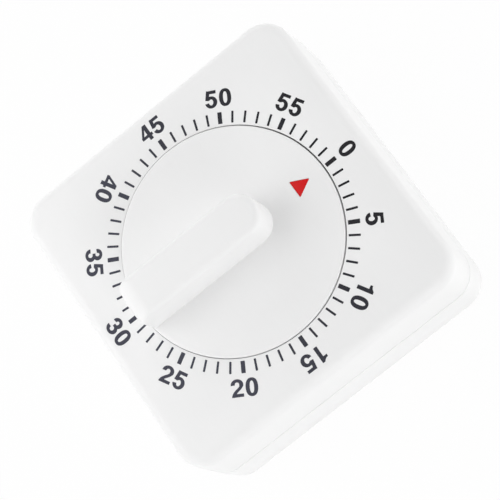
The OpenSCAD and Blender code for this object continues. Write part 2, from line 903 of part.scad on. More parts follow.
module mainspring() {
    pitch = (spring_r - spring_in_r - strip_t) / coil_count;
    function at(i, side) =
        let (turn = i / points_per_coil)
        polar(spring_in_r + pitch * turn + side * strip_t, spring_end_line + 360 * turn);
    last = points_per_coil * coil_count;
    color(dark_steel) translate([0, 0, spring_z]) {
        linear_extrude(strip_h) polygon(concat(
            [for (i = [0:last]) at(i, 0)],
            [for (i = [0:last]) at(last - i, 1)]
        ));
        bar(polar(spring_end_r, spring_end_line),
            spring_stud_at - polar(spring_eye_r + strip_t / 2, spring_end_line), strip_t, strip_h);
        // The outer end's eye around its stud
        linear_extrude(strip_h) difference() {
            translate(spring_stud_at) circle(r = spring_eye_r + strip_t);
            translate(spring_stud_at) circle(r = spring_eye_r);
        }
    }
}

module spring_stud() {
    color(steel) {
        rod(spring_stud_at, spring_stud_r, spring_z - end_play, front_plate_z);
        rod(spring_stud_at, pivot_r, front_plate_z - sink, front_plate_top + pivot_proud);
    }
}

module main_wheel() {
    color(brass) translate([0, 0, main_wheel_z]) difference() {
        linear_extrude(main_wheel_t) gear_outline(main_teeth, main_module, 0, wheel_steps);
        bore([0, 0], main_journal_r + fit, -past, main_wheel_t + past);
        windows(main_windows, main_window_at, main_window_r, main_window_lead, main_wheel_t);
        for (turn = [0, 180]) bore(polar(click_pivot_r, turn + click_lead), click_rivet_r + press_gap,
            -past, main_wheel_t + past);
        for (turn = [0, 180]) bore(polar(click_post_at, turn + click_post_lead), click_post_r + press_gap,
            -past, main_wheel_t + past);
    }
}

// A pawl whose tip stands against the steep face of a ratchet tooth
module click_pawl(turn) {
    pivot = polar(click_pivot_r, click_lead);
    tip_r = ratchet_root_r + 2 * click_gap;
    color(steel) rotate(turn) translate([0, 0, click_z]) linear_extrude(click_t) difference() {
        union() {
            polygon([
                [tip_r, click_gap], [ratchet_r + click_nose, click_gap],
                pivot + [click_hub_r, 0], pivot - [click_hub_r, 0],
                [ratchet_r + 2 * click_gap, 3 * click_nose]
            ]);
            translate(pivot) circle(r = click_hub_r);
        }
        translate(pivot) circle(r = click_rivet_r + fit);
    }
}

module click_pawl_a() { click_pawl(0); }
module click_pawl_b() { click_pawl(180); }

module click_rivets() {
    color(brass) for (turn = [0, 180]) rotate(turn)
        translate(polar(click_pivot_r, click_lead)) {
            rod([0, 0], click_rivet_r, main_wheel_z, click_z + click_t + click_gap + click_head_t);
            rod([0, 0], click_rivet_r + click_head, click_z + click_t + click_gap,
                click_z + click_t + click_gap + click_head_t);
        }
}

// A leaf on a post in the main wheel that presses a pawl onto the ratchet
module click_spring(turn) {
    post = polar(click_post_at, click_post_lead);
    color(dark_steel) rotate(turn) {
        rod(post, click_post_r, main_wheel_z, click_z + click_t);
        translate([0, 0, click_z]) bar(post, click_touch, leaf_t, click_t);
    }
}

module click_spring_a() { click_spring(0); }
module click_spring_b() { click_spring(180); }

// A pinion cut on its own arbor, with a pivot at each end
module pinion(at, n, m, phase, z0, z1) {
    translate([at[0], at[1], z0]) linear_extrude(z1 - z0) gear_outline(n, m, phase, pinion_steps);
    rod(at, arbor_r, frame_z + end_play, front_plate_z - end_play);
    rod(at, pivot_r, rear_plate_z - pivot_proud, front_plate_top + pivot_proud);
}

// A ring of round windows through a wheel
module windows(count, from_middle, r, lead, t) {
    for (i = [1:count]) bore(polar(from_middle, lead + 360 * i / count), r, -past, t + past);
}

// A wheel pressed on a pinion's arbor. Its windows are the children.
module wheel(at, n, m, z) {
    translate([at[0], at[1], z]) difference() {
        linear_extrude(wheel_t) gear_outline(n, m, 0, wheel_steps);
        bore([0, 0], arbor_r + press_gap, -past, wheel_t + past);
        children();
    }
}

second_phase = mesh_phase(main_teeth, 0, second_line, second_leaves);
third_phase = mesh_phase(second_teeth, 0, third_line, third_leaves);
escape_pinion_phase = mesh_phase(third_teeth, 0, escape_line, escape_leaves);

module second_pinion() {
    color(steel) pinion(second_at, second_leaves, main_module, second_phase,
        main_wheel_z - leaf_over, main_wheel_z + main_wheel_t + leaf_over);
}

module second_wheel() {
    color(brass) wheel(second_at, second_teeth, second_module, second_wheel_z)
        windows(second_windows, second_window_at, second_window_r, 0, wheel_t);
}

module third_pinion() {
    color(steel) pinion(third_at, third_leaves, second_module, third_phase,
        second_wheel_z - leaf_over, second_wheel_z + wheel_t + leaf_over);
}

module third_wheel() {
    color(brass) wheel(third_at, third_teeth, third_module, third_wheel_z)
        windows(third_windows, third_window_at, third_window_r, 0, wheel_t);
}

module star_wheel() {
    color(brass) translate([third_at[0], third_at[1], star_z]) linear_extrude(star_t) difference() {
        pointed_outline(star_teeth, star_r - star_depth, star_r, star_phase, star_root_half, star_tip_half);
        circle(r = arbor_r + press_gap);
    }
}

module escape_pinion() {
    color(steel) pinion(escape_at, escape_leaves, third_module, escape_pinion_phase,
        third_wheel_z - leaf_over, third_wheel_z + wheel_t + leaf_over);
}

module escape_wheel() {
    color(brass) translate([escape_at[0], escape_at[1], escape_wheel_z]) difference() {
        linear_extrude(escape_t)
            pointed_outline(escape_teeth, escape_r - escape_depth, escape_r, escape_phase,
                escape_root_half, escape_tip_half);
        bore([0, 0], arbor_r + press_gap, -past, escape_t + past);
        windows(escape_windows, escape_window_at, escape_window_r, 0, escape_t);
    }
}

module release_lever() {
    color(steel) translate([0, 0, cam_z]) difference() {
        union() {
            bar(lever_at, lever_end, lever_w, cam_t);
            bar(lever_end, nose_at, 2 * nose_r, cam_t);
            bar(lever_at, anchor_at, lever_w, cam_t);
            bar(lever_at, rest_pin_at, lever_w, cam_t);
            rod(lever_at, lever_hub_r, 0, cam_t);
            // The bent-down finger that the hammer's tail rests against
            rod(rest_pin_at, rest_pin_r, star_z - cam_z, cam_t);
        }
        bore(lever_at, hammer_arbor_r + fit, -past, cam_t + past);
        bore(anchor_at, stud_r + press_gap, -past, cam_t + past);
    }
}

module anchor_stud() {
    color(brass) {
        rod(anchor_at, stud_r, anchor_z - stud_end, cam_z + cam_t);
        rod(anchor_at, stud_r + stud_collar, anchor_z + anchor_t + end_play, cam_z);
    }
}

module anchor_clip() {
    clip_z = anchor_z - end_play - clip_t;
    color(dark_steel) translate([anchor_at[0], anchor_at[1], clip_z]) linear_extrude(clip_t)
        difference() {
            circle(r = clip_r);
            circle(r = stud_r + press_gap);
            rotate(anchor_line) translate([0, -clip_slot_w / 2]) square([clip_r + past, clip_slot_w]);
        }
}

module anchor() {
    color(steel) translate([0, 0, anchor_z]) difference() {
        union() {
            bar(anchor_at, pallet_a, anchor_arm_w, anchor_t);
            bar(anchor_at, pallet_b, anchor_arm_w, anchor_t);
            bar(anchor_at + polar(weight_at, weight_line), anchor_at - polar(weight_at, weight_line),
                anchor_arm_w, anchor_t);
            rod(anchor_at, anchor_hub_r, 0, anchor_t);
        }
        bore(anchor_at, stud_r + fit, -past, anchor_t + past);
        for (at = [pallet_a, pallet_b]) bore(at, pallet_pin_r + press_gap, -past, anchor_t + past);
        for (side = [-1, 1])
            bore(anchor_at + side * polar(weight_at, weight_line), weight_rivet_r + press_gap,
                -past, anchor_t + past);
    }
}

// Two round weights riveted to the ends of the anchor's bar
module anchor_weights() {
    color(brass) for (side = [-1, 1]) {
        at = anchor_at + side * polar(weight_at, weight_line);
        rod(at, weight_r, anchor_z - weight_h, anchor_z);
        rod(at, weight_rivet_r, anchor_z - sink, anchor_z + anchor_t);
    }
}

module pallet_pins() {
    color(dark_steel) for (at = [pallet_a, pallet_b])
        rod(at, pallet_pin_r, escape_wheel_z - pallet_reach, anchor_z + anchor_t);
}

module release_spring() {
    color(dark_steel) {
        rod(release_post_at, release_post_r, cam_z - end_play, front_plate_z);
        rod(release_post_at, pivot_r, front_plate_z - sink, front_plate_top + pivot_proud);
        translate([0, 0, cam_z]) bar(release_post_at, release_touch, leaf_t, cam_t);
    }
}

module hammer_arbor() {
    color(steel) {
        rod(lever_at, hammer_arbor_r, arm_z, front_plate_z - end_play);
        rod(lever_at, pivot_r, front_plate_z - sink, front_plate_top + pivot_proud);
        rod(lever_at, hammer_arbor_r + collar_t, frame_z + end_play, frame_z + end_play + collar_t);
        rod(lever_at, hammer_arbor_r + collar_t, cam_z - end_play - collar_t, cam_z - end_play);
    }
}

module hammer_tail() {
    color(steel) translate([0, 0, star_z]) difference() {
        union() {
            bar(lever_at, tail_bend, tail_w, tail_t);
            bar(tail_bend, tail_end, tail_w, tail_t);
            bar(tail_end, finger_at, 2 * finger_r, tail_t);
            rod(lever_at, tail_hub_r, 0, tail_t);
        }
        bore(lever_at, hammer_arbor_r + press_gap, -past, tail_t + past);
    }
}

module hammer_arm() {
    color(steel) translate([0, 0, arm_z]) difference() {
        union() {
            bar(lever_at, head_at, arm_w, arm_t);
            rod(lever_at, tail_hub_r, 0, arm_t);
            rod(head_at, arm_w / 2 + arm_eye, 0, arm_t);
        }
        bore(lever_at, hammer_arbor_r + press_gap, -past, arm_t + past);
        bore(head_at, pivot_r + press_gap, -past, arm_t + past);
    }
}

module hammer_head() {
    color(brass) {
        rod(head_at, head_r, head_z, arm_z);
        rod(head_at, pivot_r, arm_z - sink, arm_z + arm_t + head_rivet);
    }
}

// Torsion spring around the hammer's arbor. Its lower leg presses the tail and its upper leg
// hooks behind the release lever's finger, so it draws the two together.
module hammer_spring() {
    z0 = star_z + tail_t + wire_r + leaf_gap;
    z1 = cam_z - end_play - collar_t - wire_r - leaf_gap;
    leg_gap = wire_r + wire_gap;
    line0 = rest_pin_heading - asin((tail_w / 2 + leg_gap) / torsion_foot_r);
    line1 = heading(rest_pin_at - lever_at) + asin((rest_pin_r + leg_gap) / rest_pin_reach);
    sweep = 360 * torsion_coils + line1 - line0;
    last = torsion_steps * torsion_coils;
    function at(r, line, z) =
        [lever_at[0] + r * cos(line), lever_at[1] + r * sin(line), z];
    color(dark_steel) wire(concat(
        [at(torsion_foot_r, line0, star_z + wire_r), at(torsion_foot_r, line0, z0)],
        [for (i = [0:last]) at(torsion_r, line0 + sweep * i / last, z0 + (z1 - z0) * i / last)],
        [at(rest_pin_reach + rest_pin_r, line1, z1)]
    ), wire_r);
}

module bell() {
    outer = bell_r;
    inner = bell_r - bell_t;
    edge_in = bell_edge_r - bell_t;
    color(steel) rotate_extrude($fn = 96) polygon(concat(
        [[bell_hole_r, bell_z]],
        arc(outer - bell_edge_r, bell_z + bell_edge_r, bell_edge_r, -90, 0, 6),
        [[outer, bell_rim_z], [inner, bell_rim_z]],
        arc(inner - edge_in, bell_z + bell_edge_r, edge_in, 0, -90, 6),
        [[bell_hole_r, bell_z + bell_t]]
    ));
}

module bell_screw() {
    head_z = bell_z + bell_t;
    color(brass) difference() {
        union() {
            rod([0, 0], bell_screw_head_r, head_z, head_z + bell_screw_head_h);
            rod([0, 0], bell_screw_r, bell_screw_end_z + end_play, head_z + sink);
        }
        translate([-bell_screw_head_r - past, -bell_slot_w / 2,
            head_z + bell_screw_head_h - bell_slot_depth])
            cube([2 * (bell_screw_head_r + past), bell_slot_w, bell_slot_depth + past]);
    }
}

front_shell();
rear_cover();
cover_screws();
knob();
pointer_mark();
front_plate();
rear_plate();
frame_pillars();
plate_screws();
movement_screws();
main_arbor();
release_cam();
ratchet_wheel();
mainspring();
spring_stud();
main_wheel();
click_pawl_a();
click_pawl_b();
click_rivets();
click_spring_a();
click_spring_b();
second_pinion();
second_wheel();
third_pinion();
third_wheel();
star_wheel();
escape_pinion();
escape_wheel();
release_lever();
anchor_stud();
anchor_clip();
anchor();
anchor_weights();
pallet_pins();
release_spring();
hammer_arbor();
hammer_tail();
hammer_arm();
hammer_head();
hammer_spring();
bell();
bell_screw();
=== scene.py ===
"""Looks of a mechanical kitchen timer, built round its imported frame.

The timer lies on its back. Z points out of the dial and Y points to the dial's zero mark.
Sizes are in millimetres while a piece is modelled, and a finished piece is in metres.
"""

import logging
import math
from dataclasses import dataclass
from enum import Enum, IntEnum
from typing import Any, Callable, ClassVar, Iterable, NamedTuple, Sequence

import bmesh
import bpy
from mathutils import Matrix, Vector


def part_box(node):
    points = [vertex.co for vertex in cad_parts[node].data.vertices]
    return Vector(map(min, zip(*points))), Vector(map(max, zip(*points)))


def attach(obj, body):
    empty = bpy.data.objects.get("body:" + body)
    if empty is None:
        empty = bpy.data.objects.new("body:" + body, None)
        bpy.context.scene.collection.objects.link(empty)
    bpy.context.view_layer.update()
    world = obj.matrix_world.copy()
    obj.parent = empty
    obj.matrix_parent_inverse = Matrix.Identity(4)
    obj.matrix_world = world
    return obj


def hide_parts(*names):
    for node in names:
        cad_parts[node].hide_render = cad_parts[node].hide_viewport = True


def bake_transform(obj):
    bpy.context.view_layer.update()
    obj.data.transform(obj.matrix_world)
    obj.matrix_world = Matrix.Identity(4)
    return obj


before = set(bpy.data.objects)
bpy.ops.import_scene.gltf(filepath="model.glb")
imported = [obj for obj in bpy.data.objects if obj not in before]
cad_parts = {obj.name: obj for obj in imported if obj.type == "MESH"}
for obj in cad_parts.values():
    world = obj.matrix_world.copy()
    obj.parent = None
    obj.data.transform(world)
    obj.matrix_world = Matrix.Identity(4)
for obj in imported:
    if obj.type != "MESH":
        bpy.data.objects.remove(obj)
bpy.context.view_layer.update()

log = logging.getLogger("timer")

Rgb = tuple[float, float, float]
Point = tuple[float, float, float]
Spot = tuple[float, float]

MM = 0.001
ORIGIN: Point = (0, 0, 0)
MIDDLE: Spot = (0, 0)

# Vertices that lie within MERGE are one, and a place or height within CLOSE or NEAR is the same.
MERGE = 0.0005
CLOSE = 0.01
NEAR = 0.02
# Slack of an angle, in radians and in degrees.
TURN_EPS = 0.0001
DEGREE_EPS = 0.01
# A face whose normal has more than this share along Z is level.
LEVEL_SHARE = 0.999
# How far a cutter runs past what it cuts.
PAST = 0.5
# Edges flatter than this many degrees are shaded smooth.
SMOOTH = 30
CORNER_STEPS = 16


class Join(Enum):
    """How one solid changes another."""

    CUT = "DIFFERENCE"
    UNITE = "UNION"


class Sides(IntEnum):
    """How many sides stand for a round form."""

    HOLE = 32
    BOSS = 48
    HEAD = 64
    STROKE = 72
    DRUM = 96
    CUP = 144
    WELL = 192
    DISC = 240
    MOUTH = 256


class Round(NamedTuple):
    """How an edge is rounded."""

    radius: float
    steps: int


def rgb(red: float, green: float, blue: float) -> Rgb:
    """Turn a screen colour of 0 to 255 into the linear colour that a shader takes.

    Args:
        red: Red share.
        green: Green share.
        blue: Blue share.

    Returns:
        The linear colour.
    """
    def linear(share: float) -> float:
        """Undo the screen curve for one share."""
        c = share / 255
        return c / 12.92 if c <= 0.04045 else ((c + 0.055) / 1.055) ** 2.4

    return linear(red), linear(green), linear(blue)


def polar(radius: float, degrees: float) -> Spot:
    """Give the plan point at a distance and an angle from the dial's middle."""
    return radius * math.cos(math.radians(degrees)), radius * math.sin(math.radians(degrees))


def corners(x: float, y: float) -> list[Spot]:
    """Give the four plan points that mirror one point in both middle planes."""
    return [(sx * x, sy * y) for sx in (-1, 1) for sy in (-1, 1)]


class Shape:
    """A solid on the bench, one unit to the millimetre, shaped in edit mode."""

    def __init__(self, obj: bpy.types.Object) -> None:
        """Take over a mesh object as the solid under work."""
        self.obj = obj

    @staticmethod
    def _clear() -> None:
        """Leave edit mode and deselect everything."""
        active = bpy.context.view_layer.objects.active
        if active is not None and active.mode != "OBJECT":
            bpy.ops.object.mode_set(mode="OBJECT")
        bpy.ops.object.select_all(action="DESELECT")

    def _only(self) -> None:
        """Leave edit mode with this solid alone selected and active."""
        self._clear()
        self.obj.select_set(True)
        bpy.context.view_layer.objects.active = self.obj

    def _edit(self) -> None:
        """Work on this solid alone, in edit mode."""
        if bpy.context.view_layer.objects.active != self.obj or self.obj.mode != "EDIT":
            self._only()
            bpy.ops.object.mode_set(mode="EDIT")

    @classmethod
    def add(cls, name: str, primitive: Callable[..., set], scale: Sequence[float] = (1, 1, 1),
            **settings: Any) -> "Shape":
        """Add a primitive, and put its place and scale into its mesh.

        Args:
            name: Name of the object and its mesh.
            primitive: The operator that adds it.
            scale: Its stretch along each axis.
            settings: What the operator is told.

        Returns:
            The solid.
        """
        cls._clear()
        primitive(**settings)
        obj = bpy.context.object
        obj.scale = scale
        obj.name = obj.data.name = name
        bpy.ops.object.transform_apply(location=True, rotation=True, scale=True)
        return cls(obj)

    @classmethod
    def block(cls, name: str, low: Point, high: Point) -> "Shape":
        """Start from a cube stretched between two corners."""
        return cls.add(name, bpy.ops.mesh.primitive_cube_add, [b - a for a, b in zip(low, high)],
                       size=1, location=[(a + b) / 2 for a, b in zip(low, high)])

    @classmethod
    def drum(cls, name: str, radius: float, z0: float, z1: float, at: Spot = MIDDLE,
             sides: int = Sides.DRUM) -> "Shape":
        """Start from an upright cylinder between two heights."""
        return cls.add(name, bpy.ops.mesh.primitive_cylinder_add, vertices=sides, radius=radius,
                       depth=z1 - z0, end_fill_type="NGON", location=(*at, (z0 + z1) / 2))

    @classmethod
    def rounded_block(cls, name: str, half: float, corner: float, z0: float,
                      z1: float) -> "Shape":
        """Start from a square block round the middle, with its upright edges rounded."""
        made = cls.block(name, (-half, -half, z0), (half, half, z1))
        return made.upright().bevel(corner, CORNER_STEPS)

    @classmethod
    def _plate(cls, name: str, outline: Sequence[Spot], z: float) -> "Shape":
        """Add a round face and lay its rim on an outline.

        Args:
            name: Name of the solid.
            outline: The outline in plan, counter-clockwise.
            z: Its height.

        Returns:
            The plate, with its face selected.
        """
        made = cls.add(name, bpy.ops.mesh.primitive_circle_add, vertices=len(outline), radius=1,
                       fill_type="NGON", location=(0, 0, z))
        made._edit()
        made._lay(outline, z)
        return made.faces(lambda c, n: True)

    def _lay(self, outline: Sequence[Spot], z: float, start: float = 0) -> None:
        """Lay the selected vertices on an outline.

        Args:
            outline: The outline in plan, counter-clockwise.
            z: Its height.
            start: Angle in radians from which the vertices are taken, counter-clockwise.
        """
        bm = bmesh.from_edit_mesh(self.obj.data)
        ring = sorted((v for v in bm.verts if v.select),
                      key=lambda v: (math.atan2(v.co.y, v.co.x) - start) % math.tau)
        for vert, spot in zip(ring, outline):
            vert.co = (*spot, z)
        bmesh.update_edit_mesh(self.obj.data)

    @classmethod
    def slab(cls, name: str, outline: Sequence[Spot], z0: float, z1: float) -> "Shape":
        """Start from a counter-clockwise outline and draw it up to a slab."""
        return cls._plate(name, outline, z0).extrude((0, 0, z1 - z0)).even()

    @classmethod
    def loft(cls, name: str, rings: Sequence[tuple[Sequence[Spot], float]]) -> "Shape":
        """Start from a plate on the first outline and draw it up ring by ring.

        Args:
            name: Name of the solid.
            rings: Outlines in plan round the origin, each from the +Y axis counter-clockwise
                with the same number of points, and their heights, from the lowest up.

        Returns:
            The solid.
        """
        (outline, z), *others = rings
        made = cls._plate(name, outline, z)
        for outline, top in others:
            made.extrude((0, 0, top - z))._lay(outline, top, math.pi / 2 - TURN_EPS)
            z = top
        return made.even()

    @classmethod
    def from_node(cls, name: str, node: str) -> "Shape":
        """Start from a copy of a CAD piece, with its loose triangles merged.

        Args:
            name: Name of the solid.
            node: The CAD node.

        Returns:
            The solid.
        """
        made = cls(bpy.data.objects.new(name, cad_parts[node].data.copy()))
        made.obj.data.name = name
        bpy.context.scene.collection.objects.link(made.obj)
        made.obj.data.transform(Matrix.Scale(1 / MM, 4))
        made._only()
        bpy.ops.mesh.customdata_custom_splitnormals_clear()
        return made.even()

    def score(self, start: Point, end: Point, count: int) -> "Shape":
        """Cut the faces across at even steps between two points, so that they can bend there.

        Args:
            start: Where the first cut lies.
            end: Where the last cut lies.
            count: Number of steps.

        Returns:
            This solid.
        """
        line = Vector(end) - Vector(start)
        for i in range(count + 1):
            self.merge()
            bpy.ops.mesh.bisect(plane_co=Vector(start) + line * (i / count), plane_no=line)
        return self

    def _pick(self, kind: str, test: Callable[[Any], bool]) -> "Shape":
        """Select the parts of one kind that pass a test.

        Args:
            kind: VERT, EDGE or FACE.
            test: What a vertex, edge or face has to pass.

        Returns:
            This solid.
        """
        self._edit()
        bpy.ops.mesh.select_mode(type=kind)
        bpy.ops.mesh.select_all(action="DESELECT")
        bm = bmesh.from_edit_mesh(self.obj.data)
        bm.normal_update()
        for part in {"VERT": bm.verts, "EDGE": bm.edges, "FACE": bm.faces}[kind]:
            part.select = test(part)
        bm.select_flush_mode()
        bmesh.update_edit_mesh(self.obj.data)
        return self

    def verts(self, test: Callable[[Vector], bool]) -> "Shape":
        """Select the vertices whose place passes a test."""
        return self._pick("VERT", lambda v: test(v.co))

    def edges(self, test: Callable[[Vector, Vector], bool]) -> "Shape":
        """Select the edges whose two ends pass a test."""
        return self._pick("EDGE", lambda e: test(e.verts[0].co, e.verts[1].co))

    def faces(self, test: Callable[[Vector, Vector], bool]) -> "Shape":
        """Select the faces whose middle and normal pass a test."""
        return self._pick("FACE", lambda f: test(f.calc_center_median(), f.normal))

    def rim(self, z: float) -> "Shape":
        """Select the edges that lie at a height."""
        return self.edges(lambda a, b: max(abs(a.z - z), abs(b.z - z)) < CLOSE)

    def upright(self) -> "Shape":
        """Select the edges that climb."""
        return self.edges(lambda a, b: abs(a.z - b.z) > CLOSE)

    def level(self, z: float) -> "Shape":
        """Select the level faces at a height."""
        return self.faces(lambda c, n: abs(n.z) > LEVEL_SHARE and abs(c.z - z) < CLOSE)

    def bevel(self, radius: float, steps: int) -> "Shape":
        """Round the selected edges.

        Args:
            radius: Radius of a right-angled edge.
            steps: Steps of the round.

        Returns:
            This solid.
        """
        bpy.ops.mesh.bevel(offset=radius, segments=steps, profile=0.5,
                           affect="EDGES", clamp_overlap=True)
        return self.merge()

    def inset(self, width: float) -> "Shape":
        """Draw a border inside the selected faces."""
        bpy.ops.mesh.inset(thickness=width, depth=0, use_even_offset=True)
        return self

    def extrude(self, run: Point) -> "Shape":
        """Draw the selected faces out along a run."""
        bpy.ops.mesh.extrude_region_move(TRANSFORM_OT_translate={"value": run})
        return self

    def resize(self, share: Point, centre: Point = ORIGIN) -> "Shape":
        """Scale what is selected about a point."""
        bpy.ops.transform.resize(value=share, center_override=centre)
        return self

    def merge(self, within: float = MERGE) -> "Shape":
        """Merge vertices that lie on each other, or nearly.

        Args:
            within: How far apart they may be.

        Returns:
            This solid.
        """
        self._edit()
        bpy.ops.mesh.select_all(action="SELECT")
        bpy.ops.mesh.remove_doubles(threshold=within)
        return self

    def even(self) -> "Shape":
        """Merge doubles and turn every face outwards.

        Returns:
            This solid.
        """
        self.merge()
        bpy.ops.mesh.normals_make_consistent(inside=False)
        return self

    def bool(self, join: Join, *tools: "Shape") -> "Shape":
        """Change this solid by others, which are used up.

        Args:
            join: How they change it.
            tools: The other solids.

        Returns:
            This solid.
        """
        for tool in tools:
            tool._only()
            self._only()
            step = self.obj.modifiers.new(join.name, "BOOLEAN")
            step.operation = join.value
            step.solver = "EXACT"
            step.object = tool.obj
            bpy.ops.object.modifier_apply(modifier=step.name)
            bpy.data.objects.remove(tool.obj)
        return self

    def drums(self, join: Join, spots: Iterable[Spot], radius: float, z0: float, z1: float,
              sides: int = Sides.DRUM) -> "Shape":
        """Change this solid by the same upright cylinder at several places, one by one.

        Args:
            join: How they change it.
            spots: The places in plan.
            radius: Their radius.
            z0: Their lower end.
            z1: Their upper end.
            sides: Number of sides.

        Returns:
            This solid.
        """
        for at in spots:
            self.bool(join, Shape.drum("drum_tool", radius, z0, z1, at, sides))
        return self

    def copy(self, name: str, turn: float = 0, move: Point = ORIGIN, scale: float = 1) -> "Shape":
        """Copy this solid with its own mesh, scaled, then turned about Z, then moved.

        Args:
            name: Name of the copy.
            turn: Turn in degrees.
            move: Move after the turn.
            scale: Size of the copy in plan.

        Returns:
            The copy.
        """
        self._only()
        other = self.obj.copy()
        other.data = self.obj.data.copy()
        other.name = other.data.name = name
        bpy.context.scene.collection.objects.link(other)
        other.data.transform(
            Matrix.Translation(move) @ Matrix.Rotation(math.radians(turn), 4, "Z")
            @ Matrix.Diagonal((scale, scale, 1, 1)))
        return Shape(other)

    def spread(self, name: str, places: Iterable[tuple[float, Point]]) -> list["Shape"]:
        """Copy this solid to every place, and delete the first.

        Args:
            name: Name of the copies, which get a number.
            places: The turn in degrees and the move of each copy.

        Returns:
            The copies.
        """
        made = [self.copy(f"{name}_{i}", *place) for i, place in enumerate(places, 1)]
        bpy.data.objects.remove(self.obj)
        return made

    @staticmethod
    def joined(name: str, parts: Sequence["Shape"]) -> "Shape":
        """Join solids into one mesh without changing them.

        Args:
            name: Name of the joined solid.
            parts: The solids, which are used up.

        Returns:
            The joined solid.
        """
        first, *others = parts
        first._only()
        for other in others:
            other.obj.select_set(True)
        if others:
            bpy.ops.object.join()
        first.obj.name = first.obj.data.name = name
        return first

    def finish(self) -> bpy.types.Object:
        """Close the work: even normals, smooth shading and metres.

        Returns:
            The finished object, at the origin and unscaled.
        """
        self.even()
        self._only()
        self.obj.scale = (MM, MM, MM)
        bpy.ops.object.transform_apply(location=False, rotation=False, scale=True)
        bpy.ops.object.shade_smooth_by_angle(angle=math.radians(SMOOTH))
        self._clear()
        return self.obj


class Sock:
    """One value in a shader. Sums and products on it add the nodes that work them out."""

    def __init__(self, graph: "Graph", socket: bpy.types.NodeSocket) -> None:
        """Wrap an output socket of a shader."""
        self.graph = graph
        self.socket = socket

    def _with(self, operation: str, a: "Sock | float", b: "Sock | float") -> "Sock":
        """Add one Math node on two values."""
        return self.graph.node("ShaderNodeMath", {"operation": operation}, {0: a, 1: b})[0]

    def __add__(self, other: "Sock | float") -> "Sock":
        """Add a value."""
        return self._with("ADD", self, other)

    __radd__ = __add__

    def __sub__(self, other: "Sock | float") -> "Sock":
        """Take a value away."""
        return self._with("SUBTRACT", self, other)

    def __rsub__(self, other: "Sock | float") -> "Sock":
        """Take this away from a value."""
        return self._with("SUBTRACT", other, self)

    def __mul__(self, other: "Sock | float") -> "Sock":
        """Multiply by a value."""
        return self._with("MULTIPLY", self, other)

    __rmul__ = __mul__

    def __truediv__(self, other: "Sock | float") -> "Sock":
        """Divide by a value."""
        return self._with("DIVIDE", self, other)

    def __rtruediv__(self, other: "Sock | float") -> "Sock":
        """Divide a value by this."""
        return self._with("DIVIDE", other, self)

    def swing(self, width: float) -> "Sock":
        """Give a cloudy value of about 0.5 a middle of 0 and a new width."""
        return (self - 0.5) * width

    def at_least(self, low: float) -> "Sock":
        """Give this value, or a lowest value where it is below that."""
        return self._with("MAXIMUM", self, low)

    def sine(self) -> "Sock":
        """Give the sine of this value."""
        return self.graph.node("ShaderNodeMath", {"operation": "SINE"}, {0: self})[0]


class Built:
    """A node that is already wired, read by the names or numbers of its outputs."""

    def __init__(self, graph: "Graph", node: bpy.types.Node) -> None:
        """Wrap a node of a shader."""
        self.graph = graph
        self.outputs = node.outputs

    def __getitem__(self, key: "str | int") -> Sock:
        """Give one output as a value."""
        return Sock(self.graph, self.outputs[key])


@dataclass(frozen=True)
class Speckle:
    """A cloudy pattern: spots to the metre, finer layers, and how strong these are."""

    scale: float
    detail: float
    rough: float


